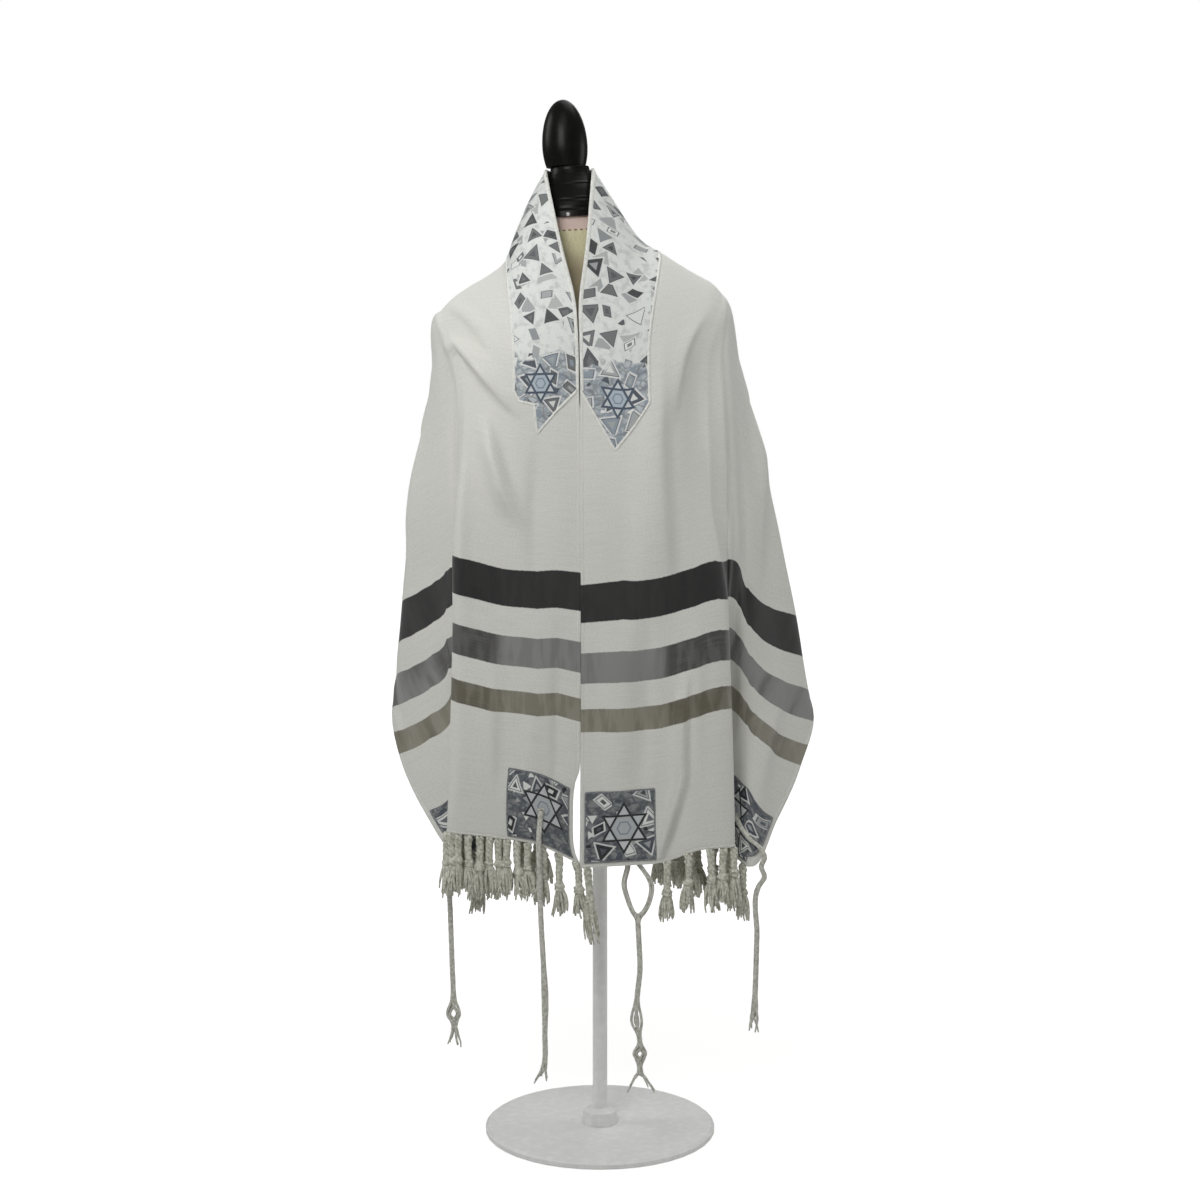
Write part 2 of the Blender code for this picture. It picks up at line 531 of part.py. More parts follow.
def tzitzit(name, seat, way, tree):
    """A knot on the cloth, with four strands that run apart from its lower side."""
    side, u, v, face_side = seat
    place, normal, _, _ = tree.find_nearest(Vector(worn_point(side, u, v)))
    out = Vector((normal.x, normal.y, 0)).normalized() * face_side
    stand_off = CLOTH_WALL / 2 + SEAM_GAP + (TRIM_WALL + SEAM_GAP if face_side > 0 else 0)
    axes = Matrix((out.cross(Vector((0, 0, 1))), out, Vector((0, 0, 1)))).transposed()
    corners = [axes @ Vector((i * KNOT_SIZE[0], j * KNOT_SIZE[1], k * KNOT_SIZE[2])) / 2
               for i in (-1, 0, 1) for j in (-1, 1) for k in (-1, 0, 1)]
    centre = place + out * (stand_off + KNOT_SIZE[1] / 2)
    while min(tree.find_nearest(centre + corner)[3] for corner in corners) < stand_off + SEAM_GAP:
        centre += out * SEAM_GAP
    bm = bmesh.new()
    bmesh.ops.create_cube(bm, size=1, matrix=Matrix.Translation(centre) @ axes.to_4x4()
                          @ Matrix.Diagonal((*KNOT_SIZE, 1)))
    foot = min(bm.faces, key=lambda face: face.calc_center_median().z)
    roots = bmesh.ops.poke(bm, faces=[foot])["faces"]
    bmesh.ops.inset_individual(bm, faces=roots, thickness=0.0004, use_even_offset=True)
    rows = np.array(way)
    start = np.array([*(centre - Vector((0, 0, KNOT_SIZE[2] / 2))), 0.0016, rows[0, 4]])
    rows = np.concatenate([start[None], rows])
    walked = np.concatenate([[0], np.cumsum(np.linalg.norm(np.diff(rows[:, :3], axis=0), axis=1))])
    steps = spline(walked, rows, np.linspace(0, walked[-1], STRAND_STEPS + 1)[1:])
    for step in steps:
        while tree.find_nearest(Vector(step[:3]))[3] < stand_off + step[3] + 3.5 * STRAND:
            step[:3] += np.array(out) * SEAM_GAP
    for root in roots:
        grow_strand(bm, root, steps, start)
    return mesh_of(bm, name)


def grow_strand(bm, face, steps, start):
    """A three-sided strand, extruded down its own side of the bundle."""
    middle = face.calc_center_median()
    own_side = math.atan2(middle.y - start[1], middle.x - start[0])
    corners = sorted(math.remainder(own_side + 2 * math.pi * k / 3, 2 * math.pi) for k in range(3))
    for x, y, z, spread, turns in steps:
        turned = own_side + 2 * math.pi * turns
        centre = Vector((x + spread * math.cos(turned), y + 0.0015 * math.sin(turned), z))
        face = bmesh.ops.extrude_discrete_faces(bm, faces=[face])["faces"][0]
        in_order = sorted(face.verts, key=lambda v: math.atan2(v.co.y - middle.y, v.co.x - middle.x))
        for vert, corner in zip(in_order, corners):
            vert.co = centre + Vector((STRAND * math.cos(corner), STRAND * math.sin(corner), 0))
        middle = centre


def worn_point(side, u, v):
    """The place on the form of a cloth point near the hem."""
    if v <= TIP_V:
        edge, start_u = v, NECK_PART + (TIP_U - NECK_PART) * v / TIP_V
        share = (u - start_u) / (CLOTH_HALF - start_u)
    else:
        share = (u - TIP_U) / (CLOTH_HALF - TIP_U)
        edge = TIP_V + (v - TIP_V) / share
        if edge > CLOTH_DEPTH:
            share = (v - TIP_V) / (CLOTH_DEPTH - TIP_V)
            edge = EDGE_LENGTH - (TIP_U + (u - TIP_U) / share)
    return along(rib_curves(side, np.array([edge]))[0], share)


# ---------------------------------------------------------------- the dress form and its stand


def torso_mesh(name, around=28):
    """Oval sections joined from the flat bottom to the neck."""
    bm = bmesh.new()
    rings = []
    for height, wide, deep in TORSO_SECTIONS:
        angles = [2 * math.pi * k / around for k in range(around)]
        rings.append([bm.verts.new((wide * math.cos(a), deep * math.sin(a), height)) for a in angles])
    for low, high in zip(rings[:-1], rings[1:]):
        for k in range(around):
            bm.faces.new((low[k - 1], low[k], high[k], high[k - 1]))
    bm.faces.new(rings[0][::-1])
    bm.faces.new(rings[-1])
    return mesh_of(bm, name)


def turned(name, outline, collection, finish, steps):
    """A solid of revolution about Z, from an outline that runs down its outer side."""
    mesh = bpy.data.meshes.new(name)
    points = [(radius, 0, height) for radius, height in outline]
    mesh.from_pydata(points, [(i, i + 1) for i in range(len(points) - 1)], [])
    obj = add_object(name, mesh, collection, finish)
    turn = obj.modifiers.new("turn", "SCREW")
    turn.axis = "Z"
    turn.steps = turn.render_steps = steps
    turn.use_merge_vertices = True
    turn.merge_threshold = 0.0001
    turn.use_smooth_shade = True
    return obj


def stand_on_axis(obj, height, shift=0.0):
    """Puts a piece of the form on the leaning axis, this far above the torso's bottom."""
    way = Euler((0, -LEAN, 0)).to_matrix()
    obj.location = Vector((TORSO_SHIFT, 0, TORSO_BOTTOM)) + way @ Vector((shift, 0, height))
    obj.rotation_euler = (0, -LEAN, 0)


def build_form(collection):
    linen = material("linen", (0.55, 0.50, 0.38), 0.9)
    black = material("black_gloss", (0.01, 0.01, 0.01), 0.15)
    white = material("white_enamel", (0.85, 0.85, 0.84), 0.35)
    torso = add_object("form_torso", torso_mesh("form_torso"), collection, linen)
    stand_on_axis(torso, 0)
    cap = turned("form_neck_cap", CAP_OUTLINE, collection, black, 24)
    stand_on_axis(cap, NECK_HEIGHT)
    egg = []
    for k in range(9):
        angle = math.pi / 2 * k / 8
        egg.append((FINIAL_RADIUS * math.sin(angle), FINIAL_FOOT + FINIAL_RISE * math.cos(angle)))
    for k in range(1, 4):
        drop = FINIAL_FOOT * k / 3
        egg.append((FINIAL_RADIUS * math.sqrt(1 - (drop / (2 * FINIAL_FOOT)) ** 2), FINIAL_FOOT - drop))
    egg.append((0, 0))
    finial = turned("form_finial", egg, collection, black, 20)
    stand_on_axis(finial, FINIAL_HEIGHT, FINIAL_SHIFT)
    under = math.sin(LEAN) * POLE_RADIUS + SEAM_GAP
    base = [(0, BASE_THICK), (BASE_RADIUS - 0.004, BASE_THICK), (BASE_RADIUS, BASE_THICK - 0.003),
            (BASE_RADIUS, 0.001), (BASE_RADIUS - 0.001, 0), (0, 0)]
    turned("stand_base", base, collection, white, 40)
    pole_low, pole_high = BASE_THICK + SEAM_GAP, TORSO_BOTTOM - under
    pole = [(0, pole_high), (POLE_RADIUS, pole_high), (POLE_RADIUS, pole_low + 0.02),
            (POLE_RADIUS + 0.012, pole_low + 0.016), (POLE_RADIUS + 0.014, pole_low), (0, pole_low)]
    turned("stand_pole", pole, collection, white, 24)


def build_shawl(collection):
    cloth = material("cloth", (0.80, 0.80, 0.77), 0.7)
    trim = material("trim", (0.55, 0.58, 0.62), 0.6)
    thread = material("thread", (0.72, 0.72, 0.66), 0.8)
    pattern = flat_pattern()
    add_outward(pattern)
    shawl = pattern.copy()
    dress(shawl)
    tree = BVHTree.FromBMesh(shawl)
    obj = add_object("shawl_cloth", mesh_of(shawl, "shawl_cloth"), collection, cloth)
    add_wall(obj, CLOTH_WALL, 0)
    gap = CLOTH_WALL / 2 + SEAM_GAP
    middle, inner = BAND_DEPTH / 2, 0.0004
    outline = [(BAND_SIDE, BAND_DEPTH), (BAND_TIP, middle), (BAND_INNER, inner)]
    band = cut_piece(pattern, [(-u, v) for u, v in outline[::-1]] + outline)
    dress(band, gap)
    obj = add_object("atarah", mesh_of(band, "atarah"), collection, trim)
    add_wall(obj, TRIM_WALL, 1)
    low = CLOTH_HALF - PATCH_INSET
    for side, name in ((-1, "left"), (1, "right")):
        for where, near in (("front", PATCH_INSET), ("side", CLOTH_DEPTH - PATCH_INSET - PATCH)):
            corners = [(low, near), (low - PATCH, near), (low - PATCH, near + PATCH), (low, near + PATCH)]
            piece = cut_piece(pattern, [(side * u, v) for u, v in corners])
            dress(piece, gap)
            obj = add_object(f"patch_{where}_{name}", mesh_of(piece, where + name), collection, trim)
            add_wall(obj, TRIM_WALL, 1)
        add_object("fringe_" + name, fringe(side, "fringe_" + name), collection, thread)
    for name, (seat, way) in TZITZIT.items():
        add_object(name, tzitzit(name, seat, way, tree), collection, thread)
    pattern.free()


clear_scene()
part = bpy.data.collections.new("tallit_on_dress_form")
bpy.context.scene.collection.children.link(part)
build_form(part)
build_shawl(part)
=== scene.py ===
"""The looks of a tallit prayer shawl on a dress form: cloth, trim, yarn, form, stand, light and camera."""

import math

import bpy
import numpy as np
from mathutils import Euler, Matrix, Vector


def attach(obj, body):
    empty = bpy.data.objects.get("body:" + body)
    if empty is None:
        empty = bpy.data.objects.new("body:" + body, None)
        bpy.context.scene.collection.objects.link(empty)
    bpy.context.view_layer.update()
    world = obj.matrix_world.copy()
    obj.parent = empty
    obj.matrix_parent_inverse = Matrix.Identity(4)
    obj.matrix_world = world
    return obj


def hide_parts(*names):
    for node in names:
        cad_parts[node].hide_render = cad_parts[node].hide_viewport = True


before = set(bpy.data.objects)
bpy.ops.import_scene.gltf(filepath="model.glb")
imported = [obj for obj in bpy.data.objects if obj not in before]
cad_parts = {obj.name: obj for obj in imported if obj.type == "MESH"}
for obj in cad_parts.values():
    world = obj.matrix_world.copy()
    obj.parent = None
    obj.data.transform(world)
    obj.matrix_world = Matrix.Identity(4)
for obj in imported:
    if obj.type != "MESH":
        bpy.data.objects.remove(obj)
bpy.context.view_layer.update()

# ---- the flat cloth: u runs from the centre back to a hem, v from the neck edge to the back edge
CLOTH_DEPTH = 0.46
CLOTH_HALF = 0.94
NECK_PART = 0.047  # from the centre back to the side of the neck
TIP_U = 0.245  # the cloth point that lies on the shoulder's tip
TIP_V = 0.18
EDGE_LENGTH = CLOTH_DEPTH + CLOTH_HALF  # hem and back edge together, front corner to centre back
SIDES = ((-1, "left"), (1, "right"))

# ---- the neckband's depth, and how far its pointed ends reach along u; then the square patches
BAND_DEPTH = 0.088
BAND_SIDE = 0.377  # at the outer edge
BAND_TIP = 0.429
BAND_INNER = 0.361  # at the neck edge
PATCH = 0.087
PATCH_INSET = 0.006

# ---- the dress form, which leans to its own right on its pole
LEAN = math.radians(3.3)
TORSO_BOTTOM = 0.55
TORSO_SHIFT = 0.002
NECK_HEIGHT = 0.63  # the cap's rim above the torso's bottom, along the leaning axis
FINIAL_HEIGHT = 0.695
FINIAL_SHIFT = -0.0045  # it sits a little to one side on the cap
FINIAL_FOOT = 0.025  # from its flat foot up to its widest
FINIAL_RISE = 0.058  # and from there to its top
FINIAL_RADIUS = 0.0284
SCREW_PLACE = (-0.0394, -0.0537, 1.1812)

# ---- the shoulder line: share of the way from neck to tip, then x and z in metres
SHOULDER_LINE = {-1: (
    (0, -0.0665, 1.24), (0.15, -0.0843, 1.209), (0.35, -0.106, 1.16), (0.52, -0.119, 1.1265),
    (0.68, -0.144, 1.1065), (0.82, -0.17, 1.0915), (0.93, -0.19, 1.076), (1, -0.201, 1.064),
), 1: (
    (0, -0.01, 1.242), (0.15, 0.0151, 1.203), (0.35, 0.0503, 1.153), (0.52, 0.0807, 1.1344),
    (0.68, 0.105, 1.119), (0.82, 0.128, 1.106), (0.93, 0.143, 1.097), (1, 0.153, 1.086),
)}
NECK_BACK = (-0.0383, 0.034, 1.237)  # the neck edge at the centre back

# From here to the tassels, tables hold millimetres unless they say otherwise, and single numbers metres.

# ---- a row for each rib that shapes a fold: its end, measured along the hem and then the back edge; x, y, z
# where it hangs free of the form; x, y half way down from there; and x, y, z on the cloth's edge
FOLDS = {-1: (
    (0, -26.2, -119, 1000, -24.6, -124, -26, -120, 381),  # front edge
    (55, -77, -121, 1000, -76, -129, -77, -128, 407),
    (115, -127, -106, 995, -130, -122, -134, -124, 415),
    (170, -166, -82, 990, -179, -112, -189, -120, 421),  # front fold
    (192, -172, -76, 990, -179, -98, -186, -104, 418),
    (295, -183, -63, 995, -150, -83, -72, -101, 425),  # hidden turn
    (325, -185, -59, 996, -152, -77, -72, -90, 425),
    (420, -191, -48, 1000, -183, -60, -142, -80, 397),
    (460, -195, -42, 1002, -192, -52, -168.4, -85, 381),  # side corner
    (554, -203, -30, 1002, -209, -34, -223, -40, 430),
    (628, -208, -18, 998, -230, -12, -257.4, -8, 497.6),
    (700, -212, -4, 992, -245, 8, -266, 22, 562),  # widest
    (785, -213, 13, 992, -222, 32, -208, 48, 615),  # first hollow
    (850, -212.2, 26, 999, -237, 54, -256, 85, 670),  # first flute
    (882, -211.3, 31, 1001, -237, 62, -256, 101, 690),
    (945, -208.5, 41, 1005, -210, 62, -216, 83, 729),  # second hollow
    (1020, -204, 54, 1005, -221, 86, -231, 121, 771),  # second flute
    (1095, -197, 62, 1005, -196, 80, -195, 95, 785),
    (1155, -188, 70, 1005, -192, 92, -192, 112, 790),
    (1205, -164, 88, 1005, -166, 92, -165, 90, 792),  # third hollow
    (1260, -130, 106, 1010, -132, 118, -133, 130, 793),  # third flute
    (1320, -85, 114, 1015, -88, 116, -90, 112, 790),
    (1400, -30, 118, 1020, -30, 126, -30, 135, 788),  # centre back
), 1: (
    (0, -23.8, -119, 1000, -22.6, -124, -24.4, -120, 376),
    (55, 29, -121, 1000, 29, -129, 29, -129, 381),
    (105, 74, -109, 998, 76, -124, 80, -121, 384),
    (150, 109, -94, 998, 116, -122, 120, -127, 399),
    (195, 137, -77, 998, 156, -110, 165.8, -118, 402),
    (220, 143, -70, 998, 160, -90, 162, -98, 398),
    (305, 152, -58, 1000, 160, -74, 77, -91, 420),
    (335, 154, -54, 1001, 162, -66, 77, -80, 420),
    (420, 161, -44, 1005, 176, -56, 160, -80, 389),
    (460, 164, -38, 1005, 182, -50, 184.6, -105, 374.2),
    (554, 169, -26, 1002, 196, -36, 224.4, -55, 423),
    (628, 173, -14, 998, 211, -16, 257, -12, 483),
    (712, 177, 0, 990, 231, 8, 273.5, 30, 560),
    (785, 177, 14, 996, 202, 32, 208, 50, 628),
    (850, 176.4, 28, 1004, 215, 58, 243, 90, 689),
    (882, 175.5, 32, 1006, 215, 66, 243, 106, 709),
    (945, 170.5, 43, 1010, 182, 63, 192, 84, 747),
    (1024, 162, 56, 1012, 188, 90, 205, 130, 790),
    (1095, 154, 64, 1012, 155, 80, 156, 95, 805),
    (1155, 144, 72, 1012, 145, 94, 142, 115, 810),
    (1205, 116, 90, 1012, 116, 94, 114, 92, 806),
    (1260, 80, 107, 1015, 80, 119, 79, 131, 802),
    (1320, 30, 115, 1018, 31, 117, 32, 113, 796),
    (1400, -30, 118, 1020, -30, 126, -30, 135, 788),
)}
# the compass heading, in degrees from the side, in which a rib leaves the shoulder line: (metres, degrees)
HEADINGS = ((0.0, -90), (0.18, -80), (0.3, -62), (0.46, -35), (0.66, 0), (0.865, 35), (1.024, 62),
            (1.155, 85), (1.4, 90))
# and how steeply it then falls: side -1 or 1, (metres, slope)
TOP_SLOPES = {-1: ((0.0, -0.25), (1.4, -0.25)),
              1: ((0.0, -0.25), (0.25, -0.25), (0.5, -0.8), (0.9, -0.8), (1.15, -0.25))}
# the left front edge bows away from the right one: how far, up to what height, over how much cloth
BOW = 0.0088
BOW_TOP = 0.5
BOW_CLOTH = 0.11

# ---- the torso's sections: height above its bottom, half width, half depth
TORSO_SECTIONS = (
    (0, 150, 98), (60, 163, 108), (130, 160, 106), (210, 138, 92), (275, 124, 84), (340, 132, 92),
    (400, 145, 103), (450, 155, 101), (490, 163, 86), (516, 165, 70), (533, 154, 60), (546, 132, 55),
    (558, 102, 53), (572, 76, 52), (595, 60, 50), (630.7, 53, 49),
)
SLIM_FROM = 3  # the drawn form is slimmer than these sections from this row up
TORSO_SLACK = 0.0012  # by this much
# ---- the neck cap's outline: radius, height above its rim
CAP_OUTLINE = (
    (0, 64.7), (24, 64.7), (24.8, 63.4), (25.4, 60), (27, 56), (29.8, 50.5), (33, 45), (38, 37.5),
    (39.6, 35), (41.6, 31.5), (45, 25.5), (46, 22.5), (48.8, 19), (50.8, 13.5), (51, 10.5), (53.3, 7),
    (54, 1), (0, 1),
)
CAP_SLACK = 0.0006  # how much slimmer the drawn cap is
CAP_BEADS = ((0.0235, 0.0009, 0.0012), (0.043, 0.0006, 0.001))  # height, how far it stands out, half width

# ---- the four tzitzit: where each one's knot lies on the cloth (side, u and v in metres, 1 outside or -1
# inside), and the way down from there: x, y, z, how far the strands stand apart, and turns of twist so far
TZITZIT = {
    "tzitzit_side_left": ((-1, 0.8905, 0.4145, 1), (
    (-174.5, -85, 419, 1.6, 0), (-188.5, -90, 403, 1.5, 0), (-189.5, -90, 360, 1.5, 0.1),
    (-188, -90, 305, 1.5, 0.3), (-186.5, -90, 250, 1.5, 0.5), (-185, -90, 200, 2.6, 0.6),
    (-185, -90, 180, 6, 0.6), (-183.5, -90, 162, 1.5, 0.7), (-183, -90, 140, 4, 0.7),
    )),
    "tzitzit_front_left": ((-1, 0.8905, 0.0455, 1), (
    (-75.2, -139, 420, 1.6, 0), (-75, -142, 385, 1.6, 0.1), (-74, -142, 350, 1.5, 0.2),
    (-72.8, -141, 315, 1.5, 0.3), (-70, -140, 260, 1.7, 0.5), (-68.1, -140, 215, 2.8, 0.5),
    (-68.4, -140, 170, 1.5, 0.6), (-69, -140, 135, 1.5, 0.7), (-75, -140, 113, 5, 0.7),
    )),
    "tzitzit_front_right": ((1, 0.928, 0.062, -1), (
    (43, -120, 376, 9, 0), (46.5, -124, 358, 16.5, 0), (48, -130, 335, 12, 0), (47, -133, 313, 2.2, 0),
    (48, -134, 290, 1.5, 0.1), (49.5, -135, 251, 1.5, 0.3), (46, -135, 214, 1.8, 0.5),
    (45.5, -135, 185, 5, 0.5), (49.5, -135, 160, 1.5, 0.5), (49.5, -135, 144, 6, 0.5),
    (49.5, -135, 127, 2, 0.6), (50, -135, 98, 15, 0.6),
    )),
    "tzitzit_side_right": ((1, 0.8905, 0.4145, 1), (
    (179, -98.5, 418, 1.6, 0), (189, -104, 407, 1.5, 0), (199, -107, 399, 1.5, 0.1),
    (205, -108, 387, 1.4, 0.1), (201, -108, 375, 1.4, 0.1), (205, -108, 362, 1.4, 0.2),
    (198, -108, 350, 1.4, 0.2), (196.2, -108, 287, 1.4, 0.4), (194.5, -108, 213, 1.6, 0.6),
    (193.5, -108, 186, 3.2, 0.6), (191.5, -108, 164, 1.5, 0.7),
    )),
}
TZITZIT_STRANDS = 6

# ---- creases laid on the flat cloth: u and v of both ends, half width, height outwards
CREASES = {-1: (
    (316, 204, 394, 74, 11, 15), (535, 76, 408, 136, 14, 20), (376, 112, 402, 74, 4, 3.4),
    (240, 168, 340, 118, 10, 4.5), (700, 146, 440, 158, 15, 9), (680, 222, 340, 208, 20, -19),
    (400, 52, 660, 60, 18, -6), (935, 106, 700, 120, 16, 8), (700, 152, 938, 152, 10, 4),
    (640, 22, 930, 36, 12, -4), (740, 70, 938, 76, 14, 5), (850, 98, 938, 103, 6, 3.5),
    (300, 270, 560, 350, 14, 8), (300, 320, 500, 430, 16, -6), (620, 330, 860, 400, 14, 6),
    (640, 430, 780, 452, 10, -4), (560, 430, 700, 455, 10, 4), (120, 200, 180, 440, 18, 7),
    (60, 160, 90, 455, 16, -5), (200, 240, 260, 440, 14, 6), (20, 180, 30, 455, 12, 4.5),
), 1: (
    (290, 162, 420, 118, 14, 6.5), (310, 104, 640, 106, 25, 19), (300, 182, 630, 190, 28, -15),
    (420, 220, 700, 232, 20, -4), (400, 60, 700, 52, 18, -5), (560, 24, 930, 22, 12, -3.5),
    (600, 90, 930, 70, 16, -6), (720, 138, 870, 131, 7, 14), (830, 137, 944, 94, 7, 15),
    (640, 152, 860, 156, 10, 3), (300, 260, 600, 340, 15, 8), (300, 320, 480, 440, 15, -6),
    (600, 300, 880, 380, 14, -6), (640, 390, 860, 440, 12, 6), (560, 425, 680, 455, 10, -4),
    (110, 210, 160, 445, 17, 7), (50, 170, 70, 455, 15, -5), (190, 240, 230, 440, 14, 6),
)}
STEEP_SIDE, GENTLE_SIDE = 0.6, 1.4  # a crease falls off faster on one side than on the other

# ---- how far each neck edge is drawn inwards above the breast: place along the edge, distance
EDGE_PULL = (
    (170, 0), (200, 1), (215, 2.2), (240, 4), (255, 4.4), (265, 4.1), (280, 3), (300, 1.7), (320, 0.8),
    (350, 0),
)
EDGE_PULL_WIDTH = 0.05

# ---- how far the bands ride up where the cloth hangs out of true: rib, rise at the black band, at the taupe
BAND_RISE = {-1: (
    (0, 13, 11), (30, 6.5, 6), (55, 0, -2), (115, -1.5, -4), (170, 1, 0), (400, 3, 1), (460, 9, 8),
    (500, 16.5, 12.5), (554, 20, 13.5), (600, 15, 5.5), (628, 11, 2), (700, 7, 0), (800, 4, 0),
    (900, 0, 0),
), 1: (
    (0, 0, 0), (55, 6, 0), (105, 1, -2), (150, -7, -6), (190, -6, -2), (220, -2, 0), (430, 0, 0),
    (462, -7, -1), (500, 2, 8), (554, 0, 4), (620, 0, 2), (700, 0, 0),
)}

# ---- tassels: place along the hem, length, sideways drift of the tip
TASSELS = {-1: (
    (5, 70, -3), (28, 78, 3), (52, 74, -1), (68, 66, 4), (82, 74, -3), (95, 68, 4), (106, 75, -4),
    (117, 70, 3), (128, 77, 4), (139, 69, -4), (150, 75, 3), (160, 71, -3), (171, 77, 1), (192, 73, 2),
    (214, 71, 2), (230, 74, -2), (246, 70, 3), (264, 74, -3), (290, 71, 2), (352, 73, 2), (374, 69, -2),
    (396, 73, 3), (418, 70, -2), (442, 74, 1),
), 1: (
    (9, 92, 8), (109, 74, -2), (139, 72, -2), (164, 76, 4), (178, 68, -4), (196, 72, -3), (222, 71, 2),
    (244, 69, -2), (262, 73, 2), (280, 67, -2), (304, 71, 2), (371, 69, -2), (388, 73, 3), (405, 67, -2),
    (425, 71, 2), (449, 69, 1),
)}
TASSEL_FALL = 0.012  # how far a tassel follows the cloth before it hangs straight down
LOCKS = 18  # loose ends below a tassel's knot

# ---- woven bands, up from the hem: low edge, high edge, deep colour, pale colour, how cloudy, how patchy; the deep colour also shows as the painted shade towards the front fold
BANDS = (
    (0.168, 0.196, (0.15, 0.138, 0.104), (0.32, 0.304, 0.25), 0.75, 0.4),
    (0.227, 0.264, (0.085, 0.085, 0.08), (0.29, 0.29, 0.288), 1.0, 0.2),
    (0.301, 0.347, (0.032, 0.032, 0.032), (0.048, 0.048, 0.047), 0.5, 0.3),
)
BAND_BLUR = 0.0007
CLOTH_COLOUR = (0.79, 0.79, 0.745)

# ---- how finely the scene's cloth is drawn
FRONT_RIBS, HIDDEN_RIBS, SIDE_RIBS, NECK_RIBS = 50, 40, 54, 8
RIB_SAMPLES = 24  # steps along each of a rib's three legs
CLOTH_ROWS = 122
SHELL = 0.0008
TRIM_LIFT = 0.0009  # the trim's middle above the cloth's middle
TRIM_SHELL = 0.0006

# ---- rolled bindings: width, height
NECK_PIPING = (0.0052, 0.0014)
END_PIPING = (0.0036, 0.0011)
PATCH_STITCH = (0.0022, 0.0008)
LONG_HEM = (0.0042, 0.0007)
BOTTOM_HEM = (0.0036, 0.0008)

# ---- lights: name, place, the height on the middle line that it looks at, size, power
LIGHTS = (
    ("key", (-0.42, -1.2, 1.62), 1.0, 0.6, 8.2),
    ("high", (-0.1, -1.5, 2.4), 1.0, 1.0, 4.3),
    ("top", (0.45, 0.3, 2.6), 1.0, 1.2, 8.9),
    ("right", (1.8, -0.9, 1.3), 0.8, 1.0, 0.4),
    ("low", (0.00, -1.6, 0.9), 0.9, 1.2, 0.8),
    ("left_rim", (-1.7, 0.2, 1.85), 1.1, 0.9, 9.0),
    ("right_rim", (1.8, 0.35, 1.2), 0.8, 0.9, 6.0),
    ("back", (0.1, 1.6, 2.2), 0.9, 1.2, 8.0),
)
CAMERA_LENS, CAMERA_SENSOR = 64.44, 36  # millimetres
CAMERA_PLACE = (0, -2.7349, 0.9851)
CAMERA_TILT = 84  # degrees up from straight down
FLOOR_RADIUS = 9


def metres(rows):
    """A table that is written in millimetres."""
    return np.array(rows) / 1000


def row_lengths(rows):
    """The length of each row's vector, in a column."""
    return np.linalg.norm(rows, axis=1, keepdims=True)


def unit(rows):
    """The same directions, each one long."""
    return rows / row_lengths(rows)


def walked_along(path):
    """How far along a path each of its points is."""
    return np.concatenate([[0], np.cumsum(np.linalg.norm(np.diff(path, axis=0), axis=1))])


def hermite(a, b, leaving_a, reaching_b, f):
    return (
        (2 * f**3 - 3 * f**2 + 1) * a
        + (f**3 - 2 * f**2 + f) * leaving_a
        + (3 * f**2 - 2 * f**3) * b
        + (f**3 - f**2) * reaching_b
    )


def spline(knots, rows, at):
    """A smooth curve through rows at uneven knots, read at many places."""
    steps = np.diff(knots)
    slopes = np.diff(rows, axis=0) / steps[:, None]
    tangents = np.concatenate([slopes[:1], slopes[:1], slopes[1:]])
    before, after = steps[:-1, None], steps[1:, None]
    tangents[1:-1] = (slopes[:-1] * after + slopes[1:] * before) / (before + after)
    tangents[-1] = slopes[-1]
    at = np.clip(at, knots[0], knots[-1])
    i = np.clip(np.searchsorted(knots, at, side="right") - 1, 0, len(steps) - 1)
    h = steps[i][:, None]
    f = (at - knots[i])[:, None] / h
    return hermite(rows[i], rows[i + 1], tangents[i] * h, tangents[i + 1] * h, f)


# ======== ribs, which the worn cloth is laid on


def flat_ribs(edge):
    """Where each rib starts and ends on the flat cloth, as (u, v)."""
    end = np.stack([np.minimum(EDGE_LENGTH - edge, CLOTH_HALF), np.minimum(edge, CLOTH_DEPTH)], 1)
    on_back = np.clip((end[:, 0] - NECK_PART) / (TIP_U - NECK_PART), 0, 1)
    share = np.where(edge <= TIP_V, edge / TIP_V, on_back)
    start = np.stack([NECK_PART + (TIP_U - NECK_PART) * share, TIP_V * share], 1)
    behind_neck = edge > EDGE_LENGTH - NECK_PART
    start[behind_neck, 0] = end[behind_neck, 0]
    return start, end


def top_points(side, edge):
    """Where each rib starts on the form: round the neck, then out along the shoulder."""
    line = np.array(SHOULDER_LINE[side])
    start, _ = flat_ribs(edge)
    x_z = spline(line[:, 0], line[:, 1:], start[:, 1] / TIP_V)
    points = np.stack([x_z[:, 0], np.zeros(len(edge)), x_z[:, 1]], 1)
    turn = np.clip((edge - (EDGE_LENGTH - NECK_PART)) / NECK_PART, 0, 1) * math.pi / 2
    neck_x, neck_z = line[0, 1:]
    back_x, back_y, back_z = NECK_BACK
    round_neck = np.stack([
        back_x + (neck_x - back_x) * np.cos(turn),
        back_y * np.sin(turn),
        neck_z + (back_z - neck_z) * np.sin(turn),
    ], 1)
    return np.where((turn > 0)[:, None], round_neck, points)


